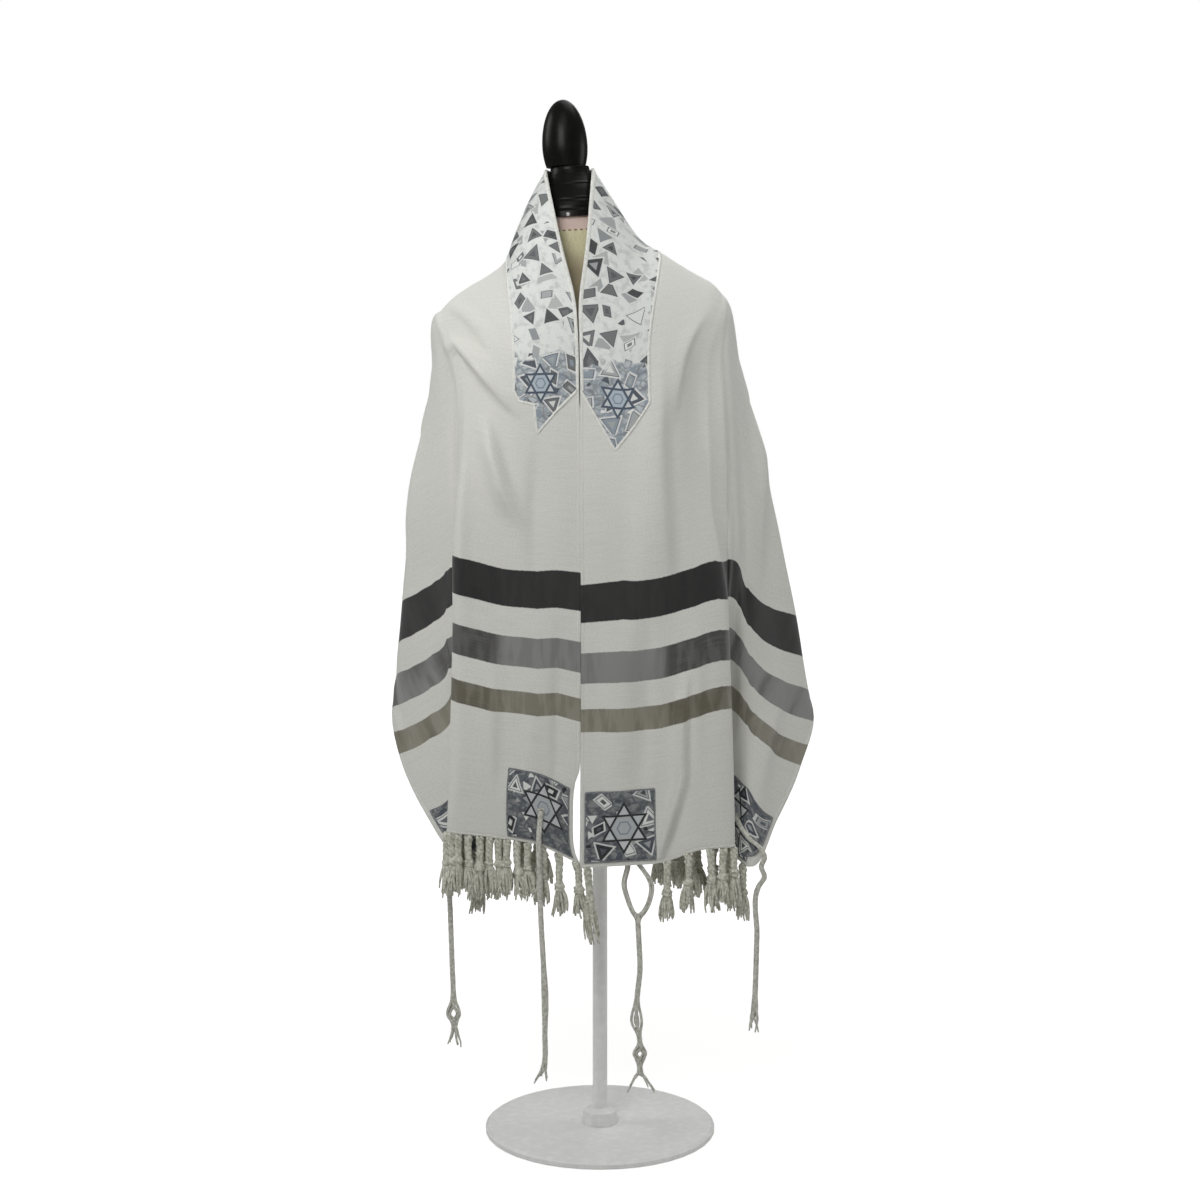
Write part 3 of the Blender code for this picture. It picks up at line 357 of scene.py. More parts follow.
def rib_curves(side, edge):
    """The worn curve of each rib, as (ribs, points, xyz)."""
    table = metres(FOLDS[side])
    row = spline(table[:, 0], table[:, 1:], edge)
    top, leave, end = top_points(side, edge), row[:, 0:3], row[:, 5:8]
    middle = np.concatenate([row[:, 3:5], (leave[:, 2:] + end[:, 2:]) / 2], 1)
    heading = np.radians(np.interp(edge, *np.array(HEADINGS).T))
    slope = np.interp(edge, *np.array(TOP_SLOPES[side]).T)
    away = np.stack([side * np.cos(heading), np.sin(heading), slope], 1)
    away *= 0.9 / row_lengths(away)
    legs = [leave - top, middle - leave, end - middle]
    lengths = [row_lengths(leg) for leg in legs]
    ways = [leg / length for leg, length in zip(legs, lengths)]
    at_leave = (ways[0] * lengths[1] + ways[1] * lengths[0]) / (lengths[0] + lengths[1])
    at_leave = 0.35 * at_leave + 0.65 * ways[1]
    at_middle = (ways[1] * lengths[2] + ways[2] * lengths[1]) / (lengths[1] + lengths[2])
    tangents = [away, at_leave, at_middle, 2 * ways[2] - at_middle]
    stations = [top, leave, middle, end]
    f = np.linspace(0, 1, RIB_SAMPLES + 1)[:, None, None]
    parts = [
        hermite(stations[i], stations[i + 1], lengths[i] * tangents[i], lengths[i] * tangents[i + 1], f)
        for i in range(3)
    ]
    curves = np.swapaxes(np.concatenate([parts[0], parts[1][1:], parts[2][1:]]), 0, 1)
    if side < 0:
        foot = curves[:, -1:, 2]
        rise = np.clip((curves[..., 2] - foot) / (BOW_TOP - foot), 0, 1)
        give = np.clip(1 - edge[:, None] / BOW_CLOTH, 0, 1)
        bow = BOW * (1 - (2 * rise - 1) ** 4)
        curves[..., 0] -= bow * give
        curves[..., 1] -= bow * 2 * give * (1 - give)
    return curves


def places_on(curves, shares):
    """The places at these shares of each curve's length, one row of shares to a curve."""
    steps = np.linalg.norm(np.diff(curves, axis=1), axis=2)
    walked = np.concatenate([np.zeros((len(curves), 1)), np.cumsum(steps, axis=1)], axis=1)
    out = np.empty((*shares.shape, 3))
    for i, (curve, length) in enumerate(zip(curves, walked)):
        for k in range(3):
            out[i, ..., k] = np.interp(shares[i] * length[-1], length, curve[:, k])
    return out


def rib_of(u, v):
    """The rib through a flat cloth point, and the point's share of it. u counts from the centre back."""
    start_u = NECK_PART + (TIP_U - NECK_PART) * v / TIP_V
    front = (v <= TIP_V) & (u >= start_u)
    back_v = TIP_V * np.clip((u - NECK_PART) / (TIP_U - NECK_PART), 0, 1)
    back = (u <= TIP_U) & ~front
    share_front = (u - start_u) / np.maximum(CLOTH_HALF - start_u, 1e-9)
    share_back = (v - back_v) / (CLOTH_DEPTH - back_v)
    share_hem = np.maximum((u - TIP_U) / (CLOTH_HALF - TIP_U), 1e-9)
    edge_hem = TIP_V + (v - TIP_V) / share_hem
    share_side = np.maximum((v - TIP_V) / (CLOTH_DEPTH - TIP_V), 1e-9)
    edge_side = EDGE_LENGTH - (TIP_U + (u - TIP_U) / share_side)
    kinds = [front, back, edge_hem <= CLOTH_DEPTH]
    edge = np.select(kinds, [v, EDGE_LENGTH - u, edge_hem], edge_side)
    return edge, np.clip(np.select(kinds, [share_front, share_back, share_hem], share_side), 0, 1)


# ======== mesh helpers


class Soup:
    """Vertices and faces of one piece, gathered from many strips and tubes."""

    def __init__(self):
        self.points, self.faces, self.uvs, self.count = [], [], [], 0

    def add_grid(self, points, uvs, closed=False, flip=False):
        """A grid of shape (rows, columns, 3). closed joins its last column to its first."""
        if flip:
            points, uvs = points[:, ::-1], uvs[:, ::-1]
        rows, cols = points.shape[:2]
        index = self.count + np.arange(rows * cols).reshape(rows, cols)
        beside = np.roll(index, -1, axis=1) if closed else index[:, 1:]
        here = index if closed else index[:, :-1]
        quads = np.stack([here[:-1], beside[:-1], beside[1:], here[1:]], -1).reshape(-1, 4)
        self.points.append(points.reshape(-1, 3))
        self.uvs.append(uvs.reshape(-1, 2))
        self.faces.extend(quads.tolist())
        self.count += rows * cols
        return index

    def add_capped(self, points, uvs):
        """A closed grid with a face over each end."""
        index = self.add_grid(points, uvs, closed=True)
        self.faces += [index[0][::-1].tolist(), index[-1].tolist()]

    def add_tube(self, path, radii, sides=6, squash=1.0, flat_uv=None):
        """A tube along a path, closed at both ends."""
        way = np.gradient(path, axis=0)
        way /= row_lengths(way) + 1e-12
        flat = unit(np.cross(way, (0.31, 0.92, 0.24)))
        other = np.cross(way, flat)
        angle = math.tau * np.arange(sides) / sides
        ring = flat[:, None] * np.cos(angle)[:, None] + other[:, None] * squash * np.sin(angle)[:, None]
        points = path[:, None] + ring * np.asarray(radii)[:, None, None]
        uv = np.stack(np.broadcast_arrays(angle[None] / math.tau, walked_along(path)[:, None]), -1)
        if flat_uv is not None:
            uv = np.broadcast_to(flat_uv[:, None], uv.shape)
        self.add_capped(points, uv)

    def make(self, name, finish):
        mesh = bpy.data.meshes.new(name)
        mesh.from_pydata(np.concatenate(self.points).tolist(), [], self.faces)
        layer = mesh.uv_layers.new(name="flat")
        corner = np.empty(len(mesh.loops), np.int32)
        mesh.loops.foreach_get("vertex_index", corner)
        layer.uv.foreach_set("vector", np.concatenate(self.uvs)[corner].ravel())
        mesh.materials.append(finish)
        mesh.shade_smooth()
        obj = bpy.data.objects.new(name, mesh)
        bpy.context.scene.collection.objects.link(obj)
        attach(obj, "root")
        return obj


def solidify(obj, thickness):
    wall = obj.modifiers.new("wall", "SOLIDIFY")
    wall.thickness = thickness
    wall.offset = 0
    return obj


# ======== the worn cloth


def crease_height(side, u, v):
    """How far the listed creases and a slight unevenness lift each cloth point."""
    lift = np.zeros_like(u)
    for u0, v0, u1, v1, wide, high in metres(CREASES[side]):
        way = np.array([u1 - u0, v1 - v0])
        along = ((u - u0) * way[0] + (v - v0) * way[1]) / way.dot(way)
        off = ((u - u0) * -way[1] + (v - v0) * way[0]) / math.hypot(*way)
        bend = 0.25 * wide * np.sin(5 * along + 30 * u0)
        taper = np.clip(1.15 - np.abs(2 * along - 1), 0, 1)
        reach = wide * np.where(off > bend, STEEP_SIDE, GENTLE_SIDE)
        lift += high * np.exp(-(((off - bend) / reach) ** 2)) * taper**2 * (3 - 2 * taper)
    ripple = np.sin(61 * v + 7 * side + 5 * u) * np.sin(9 * u + 2 * side)
    ripple = ripple + 0.6 * np.sin(97 * v - 13 * u + side)
    return lift + 0.0006 * ripple * np.clip((u + v - 0.35) / 0.2, 0, 1)


def edge_pull(u, v):
    """How far the two neck edges lean towards each other, which closes the opening above the breast."""
    return np.interp(u, *metres(EDGE_PULL).T) * np.clip(1 - v / EDGE_PULL_WIDTH, 0, 1) ** 2


def on_cloth(u, v):
    return np.clip(u, 0, CLOTH_HALF), np.clip(v, 0, CLOTH_DEPTH)


def dress(side, u, v, raise_by=0.0):
    """Flat cloth points, of any shape of array, put on the form: their places and outward directions."""
    shape = u.shape
    u, v = u.ravel(), v.ravel()
    step = 0.0015
    at = []
    for du, dv in ((0, 0), (step, 0), (-step, 0), (0, step), (0, -step)):
        edge, share = rib_of(*on_cloth(u + du, v + dv))
        at.append(places_on(rib_curves(side, edge), share))
    out = np.cross(at[1] - at[2], at[3] - at[4]) * side
    out /= row_lengths(out) + 1e-12
    place = at[0] + out * (crease_height(side, u, v) + raise_by)[:, None]
    place[:, 0] -= side * edge_pull(u, v)
    return place.reshape(*shape, 3), out.reshape(*shape, 3)


def cloth_grid():
    """The whole cloth as one mesh on its ribs: places, flat coordinates and faces."""
    front = np.linspace(0, 1, FRONT_RIBS)
    edges = np.concatenate([
        front * TIP_V,
        np.linspace(TIP_V, CLOTH_DEPTH, HIDDEN_RIBS)[1:],
        np.linspace(CLOTH_DEPTH, EDGE_LENGTH - TIP_U, SIDE_RIBS)[1:-1],
        EDGE_LENGTH - (NECK_PART + (TIP_U - NECK_PART) * front[::-1]),
        np.linspace(EDGE_LENGTH - NECK_PART, EDGE_LENGTH, NECK_RIBS)[1:],
    ])
    start, end = flat_ribs(edges)
    shares = np.linspace(0, 1, CLOTH_ROWS)
    flat = start[:, None] + (end - start)[:, None] * shares[:, None]
    places, flats, faces, known = [], [], [], {}
    for side, _ in SIDES:
        at = places_on(rib_curves(side, edges), np.broadcast_to(shares, flat.shape[:2]))
        index = np.empty(flat.shape[:2], int)
        for spot in np.ndindex(index.shape):
            u, v = flat[spot]
            key = (round(side * u, 6) + 0.0, round(v, 6))
            if key not in known:
                known[key] = len(places)
                places.append(at[spot])
                flats.append((side * u, v))
            index[spot] = known[key]
        quads = np.stack([index[:-1, :-1], index[:-1, 1:], index[1:, 1:], index[1:, :-1]], -1).reshape(-1, 4)
        for quad in (quads if side > 0 else quads[:, ::-1]).tolist():
            ring = [c for k, c in enumerate(quad) if c != quad[k - 1]]
            if len(ring) > 2:
                faces.append(ring)
    return np.array(places), np.array(flats), faces


def weave_at(side, u, v):
    """Where cloth points lie in the weave, whose bands ride up in places."""
    table = metres(BAND_RISE[side])
    above = CLOTH_HALF - u
    edge, _ = rib_of(u, v)
    black, taupe = (np.interp(edge, table[:, 0], table[:, k]) for k in (1, 2))
    rise = (taupe + (black - taupe) * (above - 0.182) / 0.142) * np.clip(above / 0.12, 0, 1)
    return np.stack([side * (u + rise * np.clip(2 - above / 0.36, 0, 1)), v], -1)


def build_cloth(finish):
    places, flats, faces = cloth_grid()
    woven = flats.copy()
    lift = np.zeros(len(places))
    for side, _ in SIDES:
        own = flats[:, 0] * side >= 0
        u, v = np.abs(flats[own, 0]), flats[own, 1]
        woven[own] = weave_at(side, u, v)
        lift[own] = crease_height(side, u, v)
    soup = Soup()
    soup.points, soup.uvs, soup.faces = [places], [woven], faces
    cloth = soup.make("tallit_cloth", finish)
    out = np.empty(len(places) * 3)
    cloth.data.vertex_normals.foreach_get("vector", out)
    places = places + out.reshape(-1, 3) * lift[:, None]
    places[:, 0] -= np.sign(flats[:, 0]) * edge_pull(np.abs(flats[:, 0]), flats[:, 1])
    cloth.data.vertices.foreach_set("co", places.ravel())
    solidify(cloth, SHELL)
    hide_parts("shawl_cloth")
    return cloth


# ======== sewn pieces


def band_ends(across, side):
    """How far along u the neckband reaches at each place across it. The left outer corner is turned in."""
    if side > 0:
        return np.interp(across, (0, 0.5, 1), (BAND_INNER, BAND_TIP, BAND_SIDE))
    corner = (BAND_INNER, 0.422, 0.42, 0.387, 0.383, 0.367)
    return np.interp(across, (0, 0.62, 0.64, 0.67, 0.9, 1), corner)


def ribbon(soup, side, path, size, raise_by):
    """A rolled binding of this width and height along a path on the flat cloth, half round in section."""
    path = np.asarray(path, float)
    way = unit(np.gradient(path, axis=0))
    across = np.stack([-way[:, 1], way[:, 0]], 1)
    turn = np.linspace(0, math.pi, 7)
    flat = path[:, None] + across[:, None] * (size[0] / 2 * np.cos(turn))[:, None]
    u, v = on_cloth(flat[..., 0], flat[..., 1])
    place, out = dress(side, u, v, raise_by)
    place = place + out * (size[1] * np.sin(turn))[:, None]
    soup.add_grid(place, weave_at(side, u, v), flip=side < 0)


def dense(start, end, step=0.006):
    """Points every few millimetres along a straight line on the flat cloth."""
    n = max(2, int(math.hypot(end[0] - start[0], end[1] - start[1]) / step))
    return [tuple(a + (b - a) * k / n for a, b in zip(start, end)) for k in range(n)] + [end]


def build_band(finish, binding):
    soup, edging = Soup(), Soup()
    across, fine = np.linspace(0.004, 0.996, 60), np.linspace(0.004, 0.996, 90)
    for side, _ in SIDES:
        ends = band_ends(across, side)
        u = np.linspace(0, 1, 130)[:, None] * ends
        v = np.broadcast_to(across * BAND_DEPTH, u.shape)
        place, _ = dress(side, u, v, TRIM_LIFT)
        soup.add_grid(place, np.stack([side * u, v], -1), flip=side > 0)
        outer = BAND_DEPTH - 0.0016
        tip = [(e - 0.0016, a * BAND_DEPTH) for e, a in zip(band_ends(fine, side), fine)]
        ribbon(edging, side, dense((0, 0.0018), (ends[0] - 0.001, 0.0018)), NECK_PIPING, TRIM_LIFT)
        ribbon(edging, side, dense((0, outer), (ends[-1] - 0.001, outer)), END_PIPING, TRIM_LIFT)
        ribbon(edging, side, tip, END_PIPING, TRIM_LIFT)
    band = solidify(soup.make("atarah_face", finish), TRIM_SHELL)
    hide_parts("atarah")
    return [band, edging.make("atarah_binding", binding)]


def build_patches(finishes, binding):
    pieces = []
    low = CLOTH_HALF - PATCH_INSET
    share = np.linspace(0, 1, 30)
    for side, word in SIDES:
        for where, near in (("front", PATCH_INSET), ("side", CLOTH_DEPTH - PATCH_INSET - PATCH)):
            soup, edging = Soup(), Soup()
            u, v = np.meshgrid(low - PATCH + PATCH * share, near + PATCH * share, indexing="ij")
            place, _ = dress(side, u, v, TRIM_LIFT)
            uv = np.stack([side * (u - (low - PATCH / 2)), v - (near + PATCH / 2)], -1)
            soup.add_grid(place, uv, flip=side > 0)
            patch = solidify(soup.make(f"corner_{where}_{word}", finishes[len(pieces) // 2]), TRIM_SHELL)
            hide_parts(f"patch_{where}_{word}")
            high, far = low - PATCH, near + PATCH
            ring = [(low, near), (high, near), (high, far), (low, far), (low, near)]
            for a, b in zip(ring[:-1], ring[1:]):
                ribbon(edging, side, dense(a, b), PATCH_STITCH, TRIM_LIFT)
            pieces += [patch, edging.make(f"corner_{where}_{word}_stitching", binding)]
    return pieces


def build_hems(finish):
    """The rolled hems along the neck and front edge, the back edge and the bottom."""
    soup = Soup()
    inset = 0.001
    far = CLOTH_HALF - inset
    for side, _ in SIDES:
        for v in (0.0016, CLOTH_DEPTH - 0.0016):
            ribbon(soup, side, dense((inset, v), (far, v), 0.01), LONG_HEM, SHELL / 2)
        length = np.linspace(0.38, far, 160)
        edge, _ = dress(side, length, np.zeros(160))
        thick = np.interp(length, (0.38, 0.42), (0.0004, 0.0011))
        soup.add_tube(edge, thick, 8, flat_uv=weave_at(side, length, np.full(160, 0.002)))
        bottom = [(CLOTH_HALF - 0.0018, v) for v in np.linspace(inset, CLOTH_DEPTH - inset, 110)]
        ribbon(soup, side, bottom, BOTTOM_HEM, SHELL / 2)
    return [soup.make("rolled_hems", finish)]


# ======== yarn


def hem_at(side, edge):
    """Hem points, with the directions down and outward there."""

    def at(edge, share):
        return places_on(rib_curves(side, edge), np.full(len(edge), share))

    near = at(edge, 1.0)
    ahead, behind = at(np.minimum(edge + 0.002, CLOTH_DEPTH), 1.0), at(np.maximum(edge - 0.002, 0), 1.0)
    return near, unit(near - at(edge, 0.98)), unit(ahead - behind)


def around(across, out, angle, squash=1.0):
    """The directions at these angles round an axis, flattened along out."""
    return across * np.cos(angle)[:, None] + out * squash * np.sin(angle)[:, None]


def build_fringe(side, word, finish, rng):
    """Every tassel of one hem: three plies, a knot with a coil round it, and loose locks below."""
    soup = Soup()
    rows = metres(TASSELS[side])
    points, downs, acrosses = hem_at(side, rows[:, 0])
    for root, down, across, (_, length, drift) in zip(points, downs, acrosses, rows):
        across = np.array([across[0], across[1], 0]) / max(math.hypot(*across[:2]), 1e-6)
        out = np.cross((0, 0, 1), across)
        twist_start, lean = rng.uniform(0, 6.28), rng.uniform(-0.004, 0.004)
        neck, sway, plump = rng.uniform(0.38, 0.52), rng.uniform(-0.0022, 0.0022), rng.uniform(0.85, 1.2)
        knot_end = neck + 0.1

        def axis(share):
            share = share[..., None]
            fall = root + down * TASSEL_FALL * np.minimum(share * length / TASSEL_FALL, 1)
            hang = np.array([0, 0, -1]) * np.maximum(share * length - TASSEL_FALL, 0)
            bowed = drift * share**1.4 + sway * np.sin(5.5 * share)
            return fall + hang + across * bowed + out * lean * share

        share = np.linspace(0, neck, 20)
        turn = twist_start + math.tau * 1.7 * share / neck
        thick = np.interp(share, (0, 0.06, 0.3, 0.5), (0.0018, 0.0027, 0.0027, 0.0025))
        splay = np.interp(share, (0, 0.18, 0.5), (0.0034, 0.0023, 0.002))[:, None]
        for phase in (0, 2.1, 4.2):
            soup.add_tube(axis(share) + around(across, out, turn + phase) * splay, thick, 7)
        bulge = (0.0036 + 0.0028 * np.sin(np.linspace(0, math.pi, 9))) * plump
        soup.add_tube(axis(np.linspace(neck - 0.04, knot_end + 0.02, 9)), bulge, 12, 0.85)
        coil = np.linspace(0, 1, 22)
        wrap = around(across, out, twist_start + math.tau * 1.5 * coil, 0.85) * 0.0057 * plump
        soup.add_tube(axis(neck + (knot_end - neck) * coil) + wrap, np.full(22, 0.0013))
        for k in range(LOCKS):
            angle = math.tau * (k + rng.uniform(-0.3, 0.3)) / LOCKS
            spread = rng.uniform(0.003, 0.0065) if k % 2 else rng.uniform(0.0064, 0.0105)
            share = np.linspace(knot_end - 0.03, 1 + rng.uniform(-0.1, 0.05), 8)
            reach = np.linspace(0, 1, 8)
            open_by = 0.003 + spread * reach**0.8 * (1 - 0.25 * reach**2)
            way = around(across, out, angle + 0.35 * np.sin(3 * reach + k), 0.8)
            thick = np.interp(reach, (0, 0.3, 1), (0.0014, 0.0019, 0.001))
            soup.add_tube(axis(share) + way * open_by[:, None], thick, 5)
    fringe = soup.make(f"tassels_{word}", finish)
    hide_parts(f"fringe_{word}")
    return fringe


def build_tzitzit(name, seat, way, finish, rng):
    """A knot on the cloth and twisted strands down from it, joined, parted and frayed as they hang."""
    side, u, v, face_side = seat
    place, out = dress(side, np.array([u]), np.array([v]), 0.0016 if face_side > 0 else -0.003)
    knot, out = place[0], out[0] * face_side
    rows = np.array(way) / (1000, 1000, 1000, 1000, 1)
    rows = np.concatenate([[[*(knot + out * 0.0018), 0.0016, rows[0, 4]]], rows])
    walked = walked_along(rows[:, :3])
    end = walked[-1]
    at = np.linspace(0, end, 150)
    line = spline(walked, rows, at)
    wide = np.maximum(line[:, 3], 0.0017)
    parted = np.clip((wide - 0.003) / 0.003, 0, 1)
    thick = np.interp(at, (0, end - 0.02, end), (0.0018, 0.0018, 0.0009))
    soup = Soup()
    for k in range(TZITZIT_STRANDS):
        angle = math.tau * (k / TZITZIT_STRANDS + 2.6 * line[:, 4]) + 16 * at
        own = 1.0 if k % 2 else -1.0
        across = (1 - parted) * wide * np.cos(angle) + parted * (own * wide + 0.002 * np.cos(angle))
        swing = np.stack([across, np.minimum(wide, 0.0018) * np.sin(angle), 0 * angle], 1)
        stray = [rng.uniform(-far, far) for far in (0.006, 0.004, 0.006)]
        fray = np.clip((at - end + 0.03) / 0.03, 0, 1)[:, None] * stray
        soup.add_tube(line[:, :3] + swing + fray, thick)
    turns = np.linspace(0, math.tau * 2.5, 40)
    flat = np.cross(out, (0, 0, 1))
    flat /= np.linalg.norm(flat)
    ring = np.outer(np.cos(turns), flat) * 0.0034 + np.outer(np.sin(turns), np.cross(flat, out)) * 0.0026
    ring = knot + out * 0.0016 + ring + np.outer(np.linspace(-0.0006, 0.0008, 40), out)
    soup.add_tube(ring, np.full(40, 0.001))
    piece = soup.make(name + "_cord", finish)
    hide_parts(name)
    return piece


# ======== the form and its stand


def rings(wide, deep, height, count):
    """Level rings, one to a height: their points and their flat coordinates."""
    angle = math.tau * np.arange(count) / count
    height = height[:, None]
    points = np.broadcast_arrays(wide[:, None] * np.cos(angle), deep[:, None] * np.sin(angle), height)
    return np.stack(points, -1), np.stack(np.broadcast_arrays(angle[None] / math.tau, height), -1)


def lathe(name, outline, finish, place, count=72):
    """A turned piece from an outline of (radius, height) rows that runs down its outer side."""
    soup = Soup()
    radii, height = np.array(outline).T
    points, uv = rings(radii, radii, height, count)
    soup.add_grid(points[:, ::-1], uv, closed=True)
    obj = soup.make(name, finish)
    obj.data.set_sharp_from_angle(angle=math.radians(40))
    obj.data.transform(place)
    return obj


def leaning(height, shift=0.0):
    """The matrix that puts a piece of the form on its leaning axis, this far above the torso's bottom."""
    turn = Euler((0, -LEAN, 0)).to_matrix()
    made = turn.to_4x4()
    made.translation = Vector((TORSO_SHIFT, 0, TORSO_BOTTOM)) + turn @ Vector((shift, 0, height))
    return made


def build_form(linen, black, enamel, steel):
    rows = metres(TORSO_SECTIONS)
    rows[SLIM_FROM:, 1:] -= TORSO_SLACK
    height = np.unique(np.concatenate([rows[:, 0], np.linspace(rows[0, 0], rows[-1, 0], 90)]))
    wide, deep = (np.interp(height, rows[:, 0], rows[:, k]) for k in (1, 2))
    soup = Soup()
    soup.add_capped(*rings(wide, deep, height, 96))
    torso = soup.make("form_body", linen)
    torso.data.transform(leaning(0))
    torso.data.set_sharp_from_angle(angle=math.radians(50))
    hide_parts("form_torso")
    rims = metres(CAP_OUTLINE)
    tall = np.arange(0.001, 0.0635, 0.0006)[::-1]
    own = np.interp(tall, rims[1:-1, 1][::-1], rims[1:-1, 0][::-1]) - CAP_SLACK
    for at, out, reach in CAP_BEADS:
        own += out * np.exp(-(((tall - at) / reach) ** 2))
    outline = [(0, 0.0643), (0.0236, 0.0643), *zip(own, tall), (own[-1], 0.0004), (0, 0.0004)]
    cap = lathe("neck_cap", outline, black, leaning(NECK_HEIGHT))
    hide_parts("form_neck_cap")
    head = [(0, 0.0011), (0.0012, 0.001), (0.0022, 0.0004), (0.0024, -0.0012), (0, -0.0012)]
    facing = Matrix.Translation(SCREW_PLACE) @ Euler((math.pi / 2, 0, 0)).to_matrix().to_4x4()
    lathe("cap_screw", head, steel, facing, 16)
    turn = math.pi / 2 * np.arange(33) / 32
    drop = FINIAL_FOOT * np.arange(1, 13) / 12
    radii = [*np.sin(turn), *np.sqrt(1 - (drop / (2 * FINIAL_FOOT)) ** 2), 0]
    heights = [*(FINIAL_FOOT + FINIAL_RISE * np.cos(turn)), *(FINIAL_FOOT - drop), 0]
    egg = [(FINIAL_RADIUS * radius, height) for radius, height in zip(radii, heights)]
    finial = lathe("finial", egg, black, leaning(FINIAL_HEIGHT, FINIAL_SHIFT))
    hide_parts("form_finial")
    for node in ("stand_base", "stand_pole"):
        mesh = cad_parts[node].data
        mesh.materials.clear()
        mesh.materials.append(enamel)
    return torso


# ======== finishes


class Signal:
    """A shader value that can be reckoned with: each sign makes one Math node."""

    def __init__(self, nodes, socket):
        self.nodes, self.socket = nodes, socket

    def __add__(self, other):
        return self.nodes.math("ADD", self, other)

    def __radd__(self, other):
        return self.nodes.math("ADD", other, self)

    def __sub__(self, other):
        return self.nodes.math("SUBTRACT", self, other)

    def __rsub__(self, other):
        return self.nodes.math("SUBTRACT", other, self)

    def __mul__(self, other):
        return self.nodes.math("MULTIPLY", self, other)

    def __abs__(self):
        return self.nodes.math("ABSOLUTE", self)


class Nodes:
    """Short names for the shader nodes that the finishes are made of."""

    def __init__(self, owner):
        owner.use_nodes = True
        self.owner, self.tree = owner, owner.node_tree

    def add(self, kind, **settings):
        node = self.tree.nodes.new("ShaderNode" + kind)
        for name, value in settings.items():
            setattr(node, name, value)
        return node

    def feed(self, socket, value):
        if isinstance(value, Signal):
            self.tree.links.new(value.socket, socket)
        else:
            socket.default_value = value

    def read(self, node, output=0):
        return Signal(self, node.outputs[output])

    def run(self, node, *values, **named):
        """Feeds a node's inputs, in turn or by name with _ for a blank, and gives its first result."""
        for socket, value in zip(node.inputs, values):
            self.feed(socket, value)
        for name, value in named.items():
            self.feed(node.inputs[name.replace("_", " ")], value)
        return self.read(node)

    def split(self, kind, value):
        """The three parts of a vector or a colour."""
        node = self.add(kind)
        self.feed(node.inputs[0], value)
        return [self.read(node, k) for k in range(3)]

    def math(self, operation, *values):
        return self.run(self.add("Math", operation=operation), *values)

    def mix(self, share, a, b):
        node = self.add("Mix", data_type="RGBA")
        for k, value in ((0, share), (6, a), (7, b)):
            self.feed(node.inputs[k], (*value, 1) if isinstance(value, tuple) else value)
        return self.read(node, 2)

    def step(self, value, low, high, out_low=0.0, out_high=1.0):
        """A soft step. With 1 and 0 as the last two values it runs the other way."""
        node = self.add("MapRange", interpolation_type="SMOOTHSTEP")
        return self.run(node, value, low, high, out_low, out_high)

    def point(self, x, y, z=0.0):
        return self.run(self.add("CombineXYZ"), x, y, z)

    def noise(self, where, scale, detail=2.0):
        return self.run(self.add("TexNoise"), Vector=where, Scale=scale, Detail=detail)

    def streaks(self, u, v, along_u, along_v, detail=2.0, seed=0.0):
        """Noise that is as fine along u and along v as the two numbers say."""
        return self.noise(self.point(u * along_u, v * along_v, seed), 1.0, detail)

    def flat(self):
        """The piece's own flat coordinates, in metres."""
        return self.split("SeparateXYZ", self.read(self.add("UVMap", uv_map="flat")))[:2]

    def ramp(self, value, stops, interpolation="CONSTANT"):
        node = self.add("ValToRGB")
        node.color_ramp.interpolation = interpolation
        points = node.color_ramp.elements
        while len(points) < len(stops):
            points.new(0.5)
        for point, (at, colour) in zip(points, stops):
            point.position = at
            point.color = (*colour, 1)
        return self.run(node, value)

    def bump(self, height, strength, distance):
        return self.run(self.add("Bump"), Strength=strength, Distance=distance, Height=height)

    def shader(self, colour, roughness, **named):
        """Sets the finish's surface and gives the finish."""
        self.run(self.tree.nodes["Principled BSDF"], Base_Color=colour, Roughness=roughness, **named)
        return self.owner


def cloth_finish():
    n = Nodes(bpy.data.materials.new("woven_cloth"))
    u, v = n.flat()
    length = abs(u)
    wander = (n.noise(n.point(v * 260.0, length), 1) - 0.5) * 0.0012
    height = (CLOTH_HALF - length) + wander
    slub = n.streaks(u, v, 900.0, 26.0, 3.0)
    cross = n.streaks(u, v, 30.0, 700.0)
    fleck = n.noise(n.point(u, v), 420.0)
    colour = n.mix(n.step(slub, 0.35, 0.75, 0.0, 0.6), CLOTH_COLOUR, (0.7, 0.7, 0.655))
    colour = n.mix(n.step(fleck, 0.4, 0.68, 0.0, 0.35), colour, (0.64, 0.64, 0.59))
    cloudy = n.streaks(u, v, 5.0, 26.0, seed=3.7)
    patchy = n.streaks(u, v, 24.0, 95.0, seed=1.3)
    # painted light and shade on the bands: kept pale near the front edges and darkened towards the front
    # fold (v 0.095 to 0.168)
    band_front_light_and_fold_shade = n.math("MAXIMUM", cloudy, 0.54) - n.step(v, 0.095, 0.168, 0.0, 0.8)
    # from here cloudy holds this painted light and shade as well as random clouds; past v 0.2 the wings go
    # back to plain clouds
    cloudy = n.math("MAXIMUM", band_front_light_and_fold_shade, cloudy * n.step(v, 0.16, 0.2))
    for low, high, deep, pale, clouds, blotches in BANDS:
        above = n.step(height, low - BAND_BLUR, low + BAND_BLUR)
        inside = above * n.step(height, high - BAND_BLUR, high + BAND_BLUR, 1.0, 0.0)
        shade = n.step(cloudy, 0.36, 0.62, 0.0, clouds) + n.step(patchy, 0.4, 0.62, 0.0, blotches)
        yarn = n.mix(n.step(slub, 0.45, 0.75, 0.0, 0.22), n.mix(shade, deep, pale), pale)
        colour = n.mix(inside, colour, yarn)
    weave = slub * 1.2 + (cross * 0.7 + fleck)
    bump = n.bump(weave, 0.22, 0.0005)
    return n.shader(colour, 0.85, Normal=bump, Sheen_Weight=0.3, Sheen_Roughness=0.5, Specular_IOR_Level=0.2)


